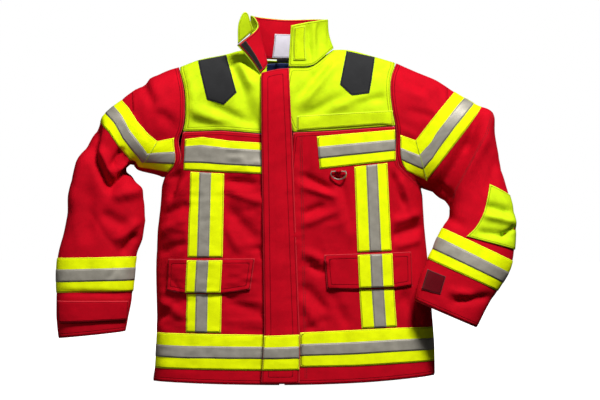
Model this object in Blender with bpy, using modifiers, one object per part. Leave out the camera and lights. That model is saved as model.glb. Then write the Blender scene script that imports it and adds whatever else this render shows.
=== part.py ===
"""A firefighter's turnout coat: shell panels, yokes, collar, zip, storm flap, pockets, reflective
bands, sleeves and liner, each a separate solid. Metres, +Z up, the front faces -Y, and the origin
is the hanger loop inside the back of the neck."""

import math

import bmesh
import bpy
import numpy as np

# Driving dimensions
FABRIC = 0.0016  # shell fabric, with its membrane
TRIM = 0.0010  # sewn-on tapes and patches
TRIM_GAP = 0.0013  # between a sewn-on piece and the cloth under it
SEAM = 0.0006  # half the gap between two panels that are sewn edge to edge
TAPE_WIDTH = 0.075  # three-colour reflective tape
LINER_DEPTH = 0.0175  # from the shell's outside to the liner's inside
HEM_Z = -0.714
ARMPIT_Z = -0.262

# Torso section: a superellipse round MID_Y that rolls over at the shoulder line
MID_Y = -0.048
DEPTH_FRONT = 0.095
DEPTH_BACK = 0.085
ROLL_FRONT = 0.13
ROLL_BACK = 0.10
SQUARENESS = 3.2

# Closure
ZIP_TOP_Z = -0.17  # where the slider stands, with the neck open above it
ZIP_BOTTOM_Z = -0.69
ZIP_TRAVEL = 0.47
FLAP_LIFT = 0.0075  # the storm flap's inner face above the shell, over the zip

CENTRE = "turnout_coat"
EPS = 0.004


# Curves and surfaces


def smooth(keys, values):
    """A smooth curve through values at the given keys: cubic pieces with averaged slopes."""
    keys = np.asarray(keys, float)
    values = np.asarray(values, float)
    slopes = np.gradient(values, keys, axis=0)

    def at(key):
        key = min(max(key, keys[0]), keys[-1])
        i = int(np.clip(np.searchsorted(keys, key, side="right") - 1, 0, len(keys) - 2))
        step = keys[i + 1] - keys[i]
        f = (key - keys[i]) / step
        start = values[i] * (2 * f**3 - 3 * f**2 + 1) + slopes[i] * step * (f**3 - 2 * f**2 + f)
        end = values[i + 1] * (3 * f**2 - 2 * f**3) + slopes[i + 1] * step * (f**3 - f**2)
        return start + end

    return at


def through(*points):
    """A smooth run through points, as a function of 0 to 1."""
    return smooth(np.linspace(0, 1, len(points)), points)


def straight(*points):
    """A run of straight stretches through points, as a function of 0 to 1 by length."""
    points = np.asarray(points, float)
    steps = np.linalg.norm(np.diff(points, axis=0), axis=1)
    keys = np.concatenate([[0], np.cumsum(steps)]) / steps.sum()
    return lambda t: np.array([np.interp(t, keys, points[:, k]) for k in range(points.shape[1])])


def chain(share, first, second):
    """Two runs, one after the other: the first takes the given share of 0 to 1."""
    return lambda t: first(t / share) if t < share else second((t - share) / (1 - share))


def coons(bottom, top, left, right):
    """The surface patch between four edge curves. Bottom and top run left to right, the others up.
    The side edges are drawn to the ends of the other two, so the corners always meet."""

    def drawn(side, end):
        low, high = bottom(end) - side(0), top(end) - side(1)
        return lambda v: side(v) + (1 - v) * low + v * high

    left, right = drawn(left, 0), drawn(right, 1)

    def at(u, v):
        rows = (1 - v) * bottom(u) + v * top(u)
        columns = (1 - u) * left(v) + u * right(v)
        low = (1 - u) * bottom(0) + u * bottom(1)
        high = (1 - u) * top(0) + u * top(1)
        return rows + columns - (1 - v) * low - v * high

    return at


def with_normal(surface, outward=1):
    """surface(p, q) -> point, as a function (p, q, offset) that stands off along the normal."""

    def at(p, q, offset=0.0):
        along = surface(p + EPS, q) - surface(p - EPS, q)
        up = surface(p, q + EPS) - surface(p, q - EPS)
        normal = np.cross(along, up)
        normal *= outward / max(np.linalg.norm(normal), 1e-12)
        return surface(p, q) + offset * normal

    return at


# The torso's outline, from its armpits and shoulders down to the hem

RIGHT_SIDE = smooth(
    [-0.715, -0.68, -0.576, -0.466, -0.40, -0.312, ARMPIT_Z, 0.1],
    [-0.304, -0.2995, -0.295, -0.297, -0.295, -0.286, -0.283, -0.283],
)
LEFT_SIDE = smooth(
    [-0.715, -0.64, -0.565, -0.431, -0.387, ARMPIT_Z - 0.02, ARMPIT_Z, 0.1],
    [0.321, 0.320, 0.3145, 0.3035, 0.299, 0.2928, 0.2925, 0.2925],
)
SHOULDER = smooth(
    [-0.30, -0.246, -0.205, -0.141, -0.117, 0.0, 0.090, 0.121, 0.187, 0.2355, 0.30],
    [-0.035, -0.0176, -0.0022, 0.011, 0.0176, 0.023, 0.0205, 0.0209, 0.0055, -0.0088, -0.03],
)
HEM = smooth([-0.31, -0.12, 0.02, 0.17, 0.325], [-0.7106, -0.716, -0.7165, -0.711, -0.698])


def even_angles():
    """Angles round the section, and even steps to match: wide where it is flat, fine at corners."""
    angles = np.linspace(-math.pi / 2, math.pi / 2, 361)
    sine, cosine = np.sin(angles), np.cos(angles)
    size = (np.abs(sine) ** SQUARENESS + np.abs(cosine) ** SQUARENESS) ** (1 / SQUARENESS)
    x, y = 0.305 * sine / size, -0.090 * cosine / size
    heading = np.unwrap(np.arctan2(np.gradient(y), np.gradient(x)))
    length = np.hypot(np.diff(x), np.diff(y))
    steps = np.cumsum(np.sqrt(np.abs(np.diff(heading)) * length) + 0.6 * length)
    steps = np.concatenate([[0], steps / steps[-1]])
    return angles, (steps - 0.5) * math.pi


ANGLES, STEPS = even_angles()


def section(x, z):
    """Where x lies across the torso at height z, in even steps round the superellipse."""
    right = RIGHT_SIDE(z)
    left = LEFT_SIDE(z)
    u = min(max((2 * x - right - left) / (left - right), -1), 1)
    v = (1 - abs(u) ** SQUARENESS) ** (1 / SQUARENESS)
    return float(np.interp(math.atan2(u, v), ANGLES, STEPS))


def drop(x, z, front=True):
    """How far below the shoulder line: an angle over the roll, then on down in proportion."""
    roll = ROLL_FRONT if front else ROLL_BACK
    fall = max(SHOULDER(x) - z, 0) / roll
    b = math.acos(1 - fall) if fall < 1 else math.pi / 2 + fall - 1
    return b if front else -b


def torso_surface(step, b):
    """The shell's outside. step goes across, b is the drop: positive in front, else behind."""
    theta = float(np.interp(step, STEPS, ANGLES))
    sine, cosine = math.sin(theta), math.cos(theta)
    size = (abs(sine) ** SQUARENESS + abs(cosine) ** SQUARENESS) ** (1 / SQUARENESS)
    u, v = sine / size, cosine / size
    roll, depth = (ROLL_FRONT, -DEPTH_FRONT) if b >= 0 else (ROLL_BACK, DEPTH_BACK)
    angle = abs(b)
    fall = 1 - math.cos(angle) if angle < math.pi / 2 else angle - math.pi / 2 + 1
    bulge = math.sin(min(angle, math.pi / 2))
    z = SHOULDER(0.2875 * u + 0.0048) - roll * fall
    for _ in range(2):
        right, left = RIGHT_SIDE(z), LEFT_SIDE(z)
        x = (left + right) / 2 + (left - right) / 2 * u
        z = SHOULDER(x) - roll * fall
    return np.array([x, MID_Y + depth * bulge * v, z])


torso = with_normal(torso_surface, outward=-1)


def on_torso(x, z, offset=0.0, front=True):
    return torso(section(x, z), drop(x, z, front), offset)


def spot(x, z, front=True):
    """A point of the front or the back, as angles on the torso."""
    return np.array([section(x, z), drop(x, z, front)])


def across(curve, front=True):
    """An edge given as x and z, as angles on the torso."""
    return lambda t: spot(*curve(t), front)


def level(curve, front=True):
    """The same for an edge that runs across, taken at an even rate round the section."""
    return straight(*[spot(*curve(t), front) for t in np.linspace(0, 1, 25)])


def torso_patch(bottom, top, left, right, front=True):
    """A patch of the torso between four edges given as x and z."""
    inside = coons(level(bottom, front), level(top, front), across(left, front), across(right, front))
    return lambda u, v, offset: torso(*inside(u, v), offset)


# Openings of the shell

RIGHT_ARMHOLE = smooth(
    [-0.262, -0.249, -0.174, -0.163, -0.103, -0.07, -0.0176],
    [-0.2829, -0.2596, -0.242, -0.2376, -0.231, -0.2332, -0.2464],
)
LEFT_ARMHOLE = smooth(
    [-0.286, -0.2464, -0.165, -0.1507, -0.1166, -0.033, -0.0088],
    [0.2926, 0.2464, 0.2332, 0.2323, 0.2255, 0.2255, 0.2354],
)
RIGHT_TIP, LEFT_TIP = -0.0176, -0.0088
RIGHT_PIT, LEFT_PIT = -0.262, -0.286


def zip_x(z):
    """The zip's line, which leans a little towards the wearer's left going down."""
    return -0.033 - 0.0226 * (z + 0.03)


def opening(z):
    """Half the front opening at height z: closed below the slider, open towards the neck."""
    spread = min(max((z - ZIP_TOP_Z) / 0.137, 0), 1)
    return 0.0056 + 0.0229 * spread**2


def right_edge(z):
    return zip_x(z) - opening(z)


def left_edge(z):
    return zip_x(z) + opening(z)


def vertical(x_at, low, high, count=5):
    """An edge that runs up from low to high, along x_at(z)."""
    return straight(*[(x_at(z), z) for z in np.linspace(low, high, count)])


# The neck seam and the collar's free edge, from the wearer's right front round the back

NECK_FRONT_RIGHT = [(-0.0655, -0.037), (-0.0506, -0.0176), (-0.0616, 0.0044), (-0.083, 0.0150)]
NECK_BACK = [(-0.080, 0.006), (-0.010, 0.000), (0.070, 0.007)]
NECK_FRONT_LEFT = [(0.0850, 0.0110), (0.0594, -0.0121), (0.0396, -0.0207), (-0.003, -0.022)]
NECK_SIDES = (-0.0925, 0.0945)  # where the seam crosses the shoulder line


def crossing(x):
    return np.array([section(x, 0.0), 0.0])


NECK_PATH = through(
    *[spot(*place) for place in NECK_FRONT_RIGHT],
    crossing(NECK_SIDES[0]),
    *[spot(*place, front=False) for place in NECK_BACK],
    crossing(NECK_SIDES[1]),
    *[spot(*place) for place in NECK_FRONT_LEFT],
)
NECK_MARKS = (4 / 12, 8 / 12)  # the two crossings along the path
COLLAR_LIFT = 0.0030  # the collar's lower edge above the neck seam
COLLAR_TOP = through(
    (-0.1155, -0.134, 0.0264),
    (-0.0792, -0.113, 0.0572),
    (-0.0704, -0.090, 0.0748),
    (-0.0790, -0.066, 0.0930),
    (-0.0860, -0.040, 0.0975),
    (-0.0680, -0.002, 0.0965),
    (-0.0100, 0.014, 0.0920),
    (0.0560, -0.002, 0.0920),
    (0.0800, -0.040, 0.0885),
    (0.0790, -0.070, 0.0870),
    (0.0600, -0.099, 0.0825),
    (0.0360, -0.113, 0.0777),
    (0.0020, -0.118, 0.0704),
)


def collar_surface(p, h):
    """p runs round the neck from the wearer's right front end, h up from the seam."""
    base = torso(*NECK_PATH(p), COLLAR_LIFT)
    top = COLLAR_TOP(p)
    inward = np.array([-0.010, -0.060, 0]) - base
    inward[2] = 0
    waist = 0.004 * math.sin(math.pi * h) * inward / max(np.linalg.norm(inward), 1e-9)
    return base + h * (top - base) + waist


collar = with_normal(collar_surface, outward=-1)


# Sleeves. Each station is a line across the flat sleeve: its outer and its inner point, x and z.


class Sleeve:
    def __init__(self, armhole, tip, pit, stations, depths, middles, spread):
        keys = np.linspace(0, 1, len(stations))
        self.armhole, self.tip, self.pit = armhole, tip, pit
        self.outer = smooth(keys, [s[0] for s in stations])
        self.inner = smooth(keys, [s[1] for s in stations])
        self.depth = smooth(np.linspace(0, 1, len(depths)), depths)
        self.middle = smooth(np.linspace(0, 1, len(middles)), middles)
        self.spread = spread
        self.side = 1 if tip == LEFT_TIP else -1
        self.at = with_normal(self.surface, outward=-self.side)

    def surface(self, s, a):
        """s runs down the sleeve, a goes round from its outer line over the front."""
        size = (abs(math.cos(a)) ** 2.4 + abs(math.sin(a)) ** 2.4) ** (1 / 2.4)
        across, out = math.cos(a) / size, math.sin(a) / size
        outer, inner = self.outer(s), self.inner(s)
        x, z = (outer + inner) / 2 + (outer - inner) / 2 * across
        point = np.array([x, self.middle(s) - self.depth(s) * out, z])
        hold = max(1 - s / self.spread, 0) ** 2
        if hold == 0:
            return point
        z = (self.tip + self.pit) / 2 + (self.tip - self.pit) / 2 * across
        x = self.armhole(z)
        seam = torso_surface(section(x, z), drop(x, z, out >= 0))
        return hold * seam + (1 - hold) * point

    def station(self, x, z):
        """The station through a point of the flat sleeve, and how far across it, -1 to 1."""
        low, high = 0.0, 1.0

        def beyond(s):
            outer, inner = self.outer(s), self.inner(s)
            line = inner - outer
            return self.side * ((x - outer[0]) * line[1] - (z - outer[1]) * line[0])

        for _ in range(30):
            mid = (low + high) / 2
            low, high = (mid, high) if beyond(mid) < 0 else (low, mid)
        outer, inner = self.outer(low), self.inner(low)
        half = (outer - inner) / 2
        place = np.array([x, z]) - (outer + inner) / 2
        return low, float(np.clip(place @ half / (half @ half), -1, 1))

    def place(self, x, z, front=True):
        """A point of the flat sleeve as station and angle."""
        s, across = self.station(x, z)
        height = (1 - abs(across) ** 2.4) ** (1 / 2.4)
        a = math.atan2(height, across)
        return np.array([s, a if front else 2 * math.pi - a])


RIGHT_SLEEVE = Sleeve(
    RIGHT_ARMHOLE,
    RIGHT_TIP,
    RIGHT_PIT,
    [
        ((-0.2464, -0.0176), (-0.2829, -0.262)),
        ((-0.2860, -0.0330), (-0.3080, -0.2560)),
        ((-0.3280, -0.0600), (-0.3300, -0.2510)),
        ((-0.3740, -0.0900), (-0.3490, -0.2455)),
        ((-0.4240, -0.1380), (-0.3530, -0.2440)),
        ((-0.4550, -0.2020), (-0.3460, -0.2630)),
        ((-0.4730, -0.2510), (-0.3240, -0.3070)),
        ((-0.4860, -0.3120), (-0.3200, -0.3500)),
        ((-0.4990, -0.3780), (-0.3250, -0.3940)),
        ((-0.5130, -0.4360), (-0.3390, -0.4360)),
        ((-0.5150, -0.5170), (-0.3470, -0.5140)),
        ((-0.5150, -0.5720), (-0.3540, -0.5650)),
        ((-0.5110, -0.6170), (-0.3610, -0.6020)),
    ],
    [0.072, 0.072, 0.062, 0.054, 0.052, 0.050, 0.046, 0.040, 0.032],
    [MID_Y, -0.050, -0.054, -0.060, -0.066, -0.072, -0.076, -0.078, -0.080],
    spread=0.13,
)
LEFT_SLEEVE = Sleeve(
    LEFT_ARMHOLE,
    LEFT_TIP,
    LEFT_PIT,
    [
        ((0.2354, -0.0088), (0.2926, -0.2860)),
        ((0.2860, -0.0300), (0.3050, -0.2940)),
        ((0.3230, -0.0484), (0.3190, -0.3030)),
        ((0.3630, -0.0740), (0.3310, -0.3100)),
        ((0.4070, -0.1010), (0.3420, -0.3150)),
        ((0.4380, -0.1200), (0.3490, -0.3210)),
        ((0.4490, -0.1650), (0.3520, -0.3280)),
        ((0.4600, -0.2140), (0.3500, -0.3370)),
        ((0.4740, -0.2760), (0.3470, -0.3470)),
        ((0.4920, -0.3520), (0.3420, -0.3590)),
        ((0.4890, -0.4440), (0.3335, -0.3733)),
        ((0.4530, -0.5104), (0.3014, -0.4400)),
        ((0.4290, -0.5480), (0.2850, -0.4790)),
        ((0.4060, -0.5900), (0.2706, -0.5313)),
    ],
    [0.072, 0.073, 0.064, 0.056, 0.052, 0.050, 0.046, 0.040, 0.032],
    [MID_Y, -0.052, -0.060, -0.070, -0.084, -0.102, -0.122, -0.138, -0.150],
    spread=0.13,
)


# Objects


def clear_scene():
    for obj in list(bpy.data.objects):
        bpy.data.objects.remove(obj, do_unlink=True)


def collection(name):
    made = bpy.data.collections.new(name)
    bpy.context.scene.collection.children.link(made)
    return made


def material(name, colour, roughness=0.85, metallic=0.0):
    found = bpy.data.materials.get(name)
    if found:
        return found
    made = bpy.data.materials.new(name)
    made.use_nodes = True
    shader = made.node_tree.nodes["Principled BSDF"]
    shader.inputs["Base Color"].default_value = (*colour, 1)
    shader.inputs["Roughness"].default_value = roughness
    shader.inputs["Metallic"].default_value = metallic
    return made


COLOURS = {
    "shell_red": (0.50, 0.003, 0.010),
    "yoke_yellow": (0.60, 0.85, 0.03),
    "reflective_tape": (0.75, 0.90, 0.01),
    "abrasion_grey": (0.030, 0.030, 0.033),
    "loop_tape_yellow": (0.65, 0.85, 0.02),
    "loop_tape_red": (0.16, 0.003, 0.006),
    "liner_navy": (0.012, 0.03, 0.12),
    "barrier_black": (0.006, 0.006, 0.007),
    "label_white": (0.75, 0.75, 0.76),
    "zip_black": (0.010, 0.009, 0.008),
}
METALS = {"ring_steel": (0.62, 0.60, 0.56), "slider_steel": (0.30, 0.29, 0.28)}


def paint(obj, slot):
    if slot in METALS:
        obj.data.materials.append(material(slot, METALS[slot], 0.3, 1.0))
    else:
        obj.data.materials.append(material(slot, COLOURS[slot]))


def add(bm, name, slot, pivot=None):
    """A mesh object in the coat's collection, with its origin on pivot where it moves."""
    mesh = bpy.data.meshes.new(name)
    bm.to_mesh(mesh)
    bm.free()
    obj = bpy.data.objects.new(name, mesh)
    COAT.objects.link(obj)
    paint(obj, slot)
    if pivot is not None:
        shift = np.asarray(pivot, float)
        for vertex in mesh.vertices:
            vertex.co -= type(vertex.co)(shift)
        obj.location = shift
    mesh.shade_smooth()
    mesh.set_sharp_from_angle(angle=math.radians(40))
    return obj


def sheet(name, slot, surface, columns, rows, inner, thickness, closed=False, drop_cell=None, pivot=None):
    """A sheet of cloth: a grid laid on surface(u, v, offset), thickened outwards from inner."""
    bm = bmesh.new()
    bmesh.ops.create_grid(bm, x_segments=columns, y_segments=rows, size=0.5)
    bm.verts.ensure_lookup_table()
    flat = [(v.co.x + 0.5, v.co.y + 0.5) for v in bm.verts]
    if drop_cell:
        gone = []
        for face in bm.faces:
            middle = face.calc_center_median()
            if drop_cell(middle.x + 0.5, middle.y + 0.5):
                gone.append(face)
        bmesh.ops.delete(bm, geom=gone, context="FACES")
        bm.verts.ensure_lookup_table()
        flat = [(v.co.x + 0.5, v.co.y + 0.5) for v in bm.verts]
    base = [surface(u, v, inner) for u, v in flat]
    raised = surface(0.5, 0.5, inner + thickness) - surface(0.5, 0.5, inner)
    for vertex, point in zip(bm.verts, base):
        vertex.co = point
    if closed:
        bmesh.ops.remove_doubles(bm, verts=bm.verts, dist=1e-6)
    bm.normal_update()
    across = surface(0.52, 0.5, inner) - surface(0.48, 0.5, inner)
    up = surface(0.5, 0.52, inner) - surface(0.5, 0.48, inner)
    if np.dot(np.cross(across, up), raised) < 0:
        bmesh.ops.reverse_faces(bm, faces=bm.faces)
    obj = add(bm, name, slot, pivot)
    solid = obj.modifiers.new("Thickness", "SOLIDIFY")
    solid.thickness = thickness
    solid.offset = 1
    solid.use_quality_normals = True
    return obj


def wrap_patch(sleeve, s_low, s_high, a_low=0.0, a_high=2 * math.pi):
    """A stretch of the sleeve between two stations. Either may be a function of the angle."""

    def station_of(limit, a):
        return limit(a) if callable(limit) else limit

    def at(u, v, offset):
        a = a_low + (a_high - a_low) * u
        s = station_of(s_low, a) * v + station_of(s_high, a) * (1 - v)
        return sleeve.at(s, a, offset)

    return at


def flat_patch(sleeve, bottom, top, left, right, front=True):
    """A patch of the sleeve between four edges given as x and z of the flat sleeve."""

    def edge(curve):
        return lambda t: sleeve.place(*curve(t), front)

    inside = coons(edge(bottom), edge(top), edge(left), edge(right))
    return lambda u, v, offset: sleeve.at(*inside(u, v), offset)


def wire(name, slot, points, radius, pivot, closed=False):
    """A bent wire of round section through points."""
    curve = bpy.data.curves.new(name, "CURVE")
    curve.dimensions = "3D"
    curve.bevel_depth = radius
    curve.bevel_resolution = 2
    curve.use_fill_caps = True
    line = curve.splines.new("POLY")
    line.points.add(len(points) - 1)
    line.use_cyclic_u = closed
    for knot, point in zip(line.points, points):
        knot.co = (*(np.asarray(point) - pivot), 1)
    obj = bpy.data.objects.new(name, curve)
    COAT.objects.link(obj)
    paint(obj, slot)
    obj.location = pivot
    return obj


# Shell panels

CLEAR = 3e-6  # below the shoulder line: with the roll, this keeps the two yokes a seam apart
HOLD = 0.0012  # panel edges stand back from an armhole or the side seam
YOKE_LOW_RIGHT = ((-0.2352, -0.1625), (-0.150, -0.160), (-0.0365, -0.1695))
YOKE_LOW_LEFT = ((0.0065, -0.164), (0.100, -0.160), (0.2310, -0.150))
YOKE_LOW_BACK = ((-0.2365, -0.160), (0.0, -0.160), (0.2315, -0.150))


def lowered(points, dz):
    return straight(*[(x, z - dz) for x, z in points])


def shoulder_run(start, end, front=True):
    """The shoulder line from x to x, as angles on the torso."""

    def at(t):
        x = start + (end - start) * t
        return np.array([section(x, 0.0), drop(x, SHOULDER(x) - CLEAR, front)])

    return at


def neck_run(start, end):
    """A stretch of the neck seam, as angles on the torso."""
    return lambda t: NECK_PATH(start + (end - start) * t)


def armhole_run(x_at, low, tip_x, gap, front=True):
    """The armhole's edge from height low up to the shoulder line at tip_x, as angles."""
    heights = np.linspace(low, SHOULDER(tip_x) - 0.012, 7)
    points = [spot(x_at(z) + gap, z, front) for z in heights]
    return straight(*points, shoulder_run(tip_x, tip_x, front)(0))


def on_grid(bottom, top, left, right):
    inside = coons(bottom, top, left, right)
    return lambda u, v, offset: torso(*inside(u, v), offset)


def make_yokes():
    neck_side = 0.0008
    tips = (-0.2445, 0.2337)
    zip_side = straight(
        (-0.0365, -0.1695), (right_edge(-0.13), -0.13), (right_edge(-0.08), -0.08), (-0.0655, -0.037)
    )
    right = on_grid(
        level(straight(*YOKE_LOW_RIGHT[::-1])),
        chain(0.45, neck_run(0, NECK_MARKS[0] - 0.002), shoulder_run(NECK_SIDES[0], tips[0])),
        across(zip_side),
        armhole_run(RIGHT_ARMHOLE, -0.1625, tips[0], HOLD),
    )
    sheet("right_yoke", "yoke_yellow", right, 18, 9, -FABRIC, FABRIC)
    zip_side = straight((0.0065, -0.164), (left_edge(-0.10) + 0.002, -0.10), (-0.003, -0.022))
    left = on_grid(
        level(straight(*YOKE_LOW_LEFT)),
        chain(0.45, neck_run(1, NECK_MARKS[1] + 0.002), shoulder_run(NECK_SIDES[1], tips[1])),
        across(zip_side),
        armhole_run(LEFT_ARMHOLE, -0.150, tips[1], -HOLD),
    )
    sheet("left_yoke", "yoke_yellow", left, 18, 9, -FABRIC, FABRIC)
    to_neck = (NECK_SIDES[0] - tips[0]) / (tips[1] - tips[0])
    from_neck = (NECK_SIDES[1] - tips[0]) / (tips[1] - tips[0])
    middle_run = chain(
        (from_neck - to_neck) / (1 - to_neck),
        neck_run(NECK_MARKS[0] + neck_side, NECK_MARKS[1] - neck_side),
        shoulder_run(NECK_SIDES[1], tips[1], False),
    )
    back = on_grid(
        level(straight(*YOKE_LOW_BACK), False),
        chain(to_neck, shoulder_run(tips[0], NECK_SIDES[0], False), middle_run),
        armhole_run(RIGHT_ARMHOLE, -0.160, tips[0], HOLD, False),
        armhole_run(LEFT_ARMHOLE, -0.150, tips[1], -HOLD, False),
    )
    sheet("back_yoke", "yoke_yellow", back, 22, 7, -FABRIC, FABRIC)


def side_edge(armhole, side, pit, low, high, gap):
    """A panel's outer edge: down the armhole, then down the side seam."""
    upper = [(armhole(z) + 2 * gap, z) for z in np.linspace(pit + 0.004, high, 4)]
    lower = [(side(z) + gap / 3, z) for z in np.linspace(low, pit - 0.02, 6)]
    return straight(*lower, *upper)


POCKETS = {
    # side: the flap's top edge, from x to x and from z to z
    "right": ((-0.2655, -0.0765), (-0.4420, -0.4400)),
    "left": ((0.0748, 0.2640), (-0.4320, -0.4260)),
}
POCKET_DROP = 0.016  # from the flap's top edge to the middle of the pocket's slot
SLOT_HEIGHT = 0.014


def panel_with_slot(name, side, patch, columns, low, high):
    """A front panel: rows spaced evenly below and above its pocket's slot, which is left open."""
    (x_low, x_high), (z_low, z_high) = POCKETS[side]
    middle = (z_low + z_high) / 2 - POCKET_DROP
    marks = [low, middle - SLOT_HEIGHT / 2, middle + SLOT_HEIGHT / 2, high]
    counts = [5, 1, 5]
    levels = [low]
    for start, end, count in zip(marks, marks[1:], counts):
        levels += [start + (end - start) * (k + 1) / count for k in range(count)]
    shares = [(level - low) / (high - low) for level in levels]
    rows = len(shares) - 1

    def at(u, v, offset):
        return patch(u, float(np.interp(v * rows, range(rows + 1), shares)), offset)

    def in_slot(u, v):
        inside = x_low + 0.025 < at(u, v, 0)[0] < x_high - 0.025
        return inside and counts[0] < v * rows < counts[0] + 1

    sheet(name, "shell_red", at, columns, rows, -FABRIC, FABRIC, drop_cell=in_slot)


def hem_run(start, end, rise=0.0):
    """The hem line from x to x, raised by rise."""
    return straight(*[(x, HEM(x) + rise) for x in np.linspace(start, end, 7)])


def make_panels():
    sides = (RIGHT_SIDE(-0.71) + HOLD / 3, LEFT_SIDE(-0.70) - HOLD / 3)
    right = torso_patch(
        hem_run(sides[0], right_edge(-0.71)),
        lowered(YOKE_LOW_RIGHT, 2 * SEAM),
        side_edge(RIGHT_ARMHOLE, RIGHT_SIDE, RIGHT_PIT, -0.7106, -0.1637, HOLD),
        straight((right_edge(-0.716), HEM(-0.02)), (right_edge(-0.40), -0.40), (-0.0365, -0.1707)),
    )
    panel_with_slot("right_front_panel", "right", right, 12, -0.714, -0.166)
    left = torso_patch(
        hem_run(left_edge(-0.7165), sides[1]),
        lowered(YOKE_LOW_LEFT, 2 * SEAM),
        straight((left_edge(-0.7165), HEM(-0.014)), (left_edge(-0.40), -0.40), (0.0065, -0.1652)),
        side_edge(LEFT_ARMHOLE, LEFT_SIDE, LEFT_PIT, -0.698, -0.1512, -HOLD),
    )
    panel_with_slot("left_front_panel", "left", left, 12, -0.707, -0.158)
    back = torso_patch(
        hem_run(*sides),
        lowered(YOKE_LOW_BACK, 2 * SEAM),
        side_edge(RIGHT_ARMHOLE, RIGHT_SIDE, RIGHT_PIT, -0.7106, -0.1612, HOLD),
        side_edge(LEFT_ARMHOLE, LEFT_SIDE, LEFT_PIT, -0.698, -0.1512, -HOLD),
        front=False,
    )
    sheet("back_panel", "shell_red", back, 24, 12, -FABRIC, FABRIC)


# Sewn-on pieces of the torso


def front_piece(name, slot, bottom, top, columns, rows, lift=TRIM_GAP, thickness=TRIM, pivot=None):
    """A piece sewn on the front, between its lower and its upper edge."""
    left = straight(bottom[0], top[0])
    right = straight(bottom[-1], top[-1])
    patch = torso_patch(straight(*bottom), straight(*top), left, right)
    sheet(name, slot, patch, columns, rows, lift, thickness, pivot=pivot)


def back_piece(name, slot, bottom, top, columns, rows):
    left = straight(bottom[0], top[0])
    right = straight(bottom[-1], top[-1])
    patch = torso_patch(straight(*bottom), straight(*top), left, right, front=False)
    sheet(name, slot, patch, columns, rows, TRIM_GAP, TRIM)


def make_bands():
    tape = "reflective_tape"
    chest = ((-0.2332, -0.2464), (-0.1320, -0.2521), (-0.0352, -0.2565))
    front_piece("right_chest_band", tape, chest, ((-0.2297, -0.1789), (-0.1914, -0.1747), (-0.1320, -0.1830), (-0.0352, -0.1892)), 8, 2)
    chest = ((0.0653, -0.2449), (0.2314, -0.2259))
    front_piece("left_chest_band", tape, chest, ((0.0590, -0.1734), (0.2297, -0.1584)), 6, 2)
    front_piece("right_upper_band", tape, ((-0.2231, -0.4378), (-0.1470, -0.4378)), ((-0.2178, -0.2504), (-0.1439, -0.2548)), 2, 6)
    front_piece("left_upper_band", tape, ((0.1474, -0.4268), (0.2222, -0.4237)), ((0.1408, -0.2398), (0.2127, -0.2314)), 2, 6)
    front_piece("right_lower_band", tape, ((-0.2277, -0.6019), (-0.1507, -0.6028)), ((-0.2257, -0.4972), (-0.1487, -0.4972)), 2, 4)
    front_piece("left_lower_band", tape, ((0.1571, -0.5936), (0.2341, -0.5894)), ((0.1500, -0.4884), (0.2266, -0.4862)), 2, 4)
    hem = ((RIGHT_SIDE(-0.68) + 0.002, -0.682), (-0.1320, -0.6842), (-0.0352, -0.6851))
    front_piece("right_hem_band", tape, hem, ((RIGHT_SIDE(-0.604) + 0.002, -0.604), (-0.0352, -0.6072)), 14, 3)
    hem = ((0.0253, -0.6776), (0.1474, -0.6754), (LEFT_SIDE(-0.666) - 0.002, -0.666))
    front_piece("left_hem_band", tape, hem, ((0.0253, -0.6019), (0.2332, -0.5922), (LEFT_SIDE(-0.591) - 0.002, -0.591)), 14, 3)
    hem = ((RIGHT_SIDE(-0.68) + 0.002, -0.682), (0.0, -0.682), (LEFT_SIDE(-0.666) - 0.002, -0.666))
    top = ((RIGHT_SIDE(-0.604) + 0.002, -0.604), (0.0, -0.605), (LEFT_SIDE(-0.591) - 0.002, -0.591))
    back_piece("back_hem_band", tape, hem, top, 26, 3)
    back_piece("back_chest_band", tape, ((-0.229, -0.250), (0.229, -0.248)), ((-0.225, -0.175), (0.226, -0.173)), 14, 2)


def make_yoke_trims():
    low = ((-0.1817, -0.0924), (-0.1452, -0.1043), (-0.1166, -0.0770))
    front_piece("right_shoulder_patch", "abrasion_grey", low, ((-0.2035, -0.0044), (-0.1408, 0.0077)), 8, 8)
    low = ((0.1093, -0.0598), (0.1355, -0.0843), (0.1734, -0.0792))
    front_piece("left_shoulder_patch", "abrasion_grey", low, ((0.1245, 0.0165), (0.1877, 0.0026)), 8, 8)
    strip = ((0.0154, -0.1606), (0.2024, -0.1465), (0.2255, -0.1496))
    front_piece("name_strip", "loop_tape_yellow", strip, ((0.0154, -0.1289), (0.2248, -0.1166)), 6, 2, TRIM_GAP, 0.0014)


POCKET_FLAP_LOW = {
    "right": ((-0.2697, -0.5104), (-0.2277, -0.5179), (-0.1518, -0.5179), (-0.0867, -0.5082)),
    "left": ((0.0810, -0.5069), (0.1496, -0.5082), (0.2266, -0.5060), (0.2662, -0.4994)),
}
FLAP_BANDS = {
    "right": (((-0.2277, -0.5157), (-0.1511, -0.5157)), ((-0.2233, -0.4444), (-0.1472, -0.4440))),
    "left": (((0.1509, -0.5051), (0.2262, -0.5025)), ((0.1476, -0.4325), (0.2226, -0.4294))),
}
POCKET_FLAP_LIFT = 0.0028
POCKET_FLAP_THICKNESS = 0.0025


def pocket_pivot(side):
    """The point of the flap's top edge that stands farthest forward."""
    (x_low, x_high), (z_low, z_high) = POCKETS[side]
    lift = POCKET_FLAP_LIFT + POCKET_FLAP_THICKNESS
    ends = [on_torso(x, z, lift) for x, z in ((x_low, z_low), (x_high, z_high))]
    return min(ends, key=lambda point: point[1]) + np.array([0, 0, 0.0005])


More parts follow.
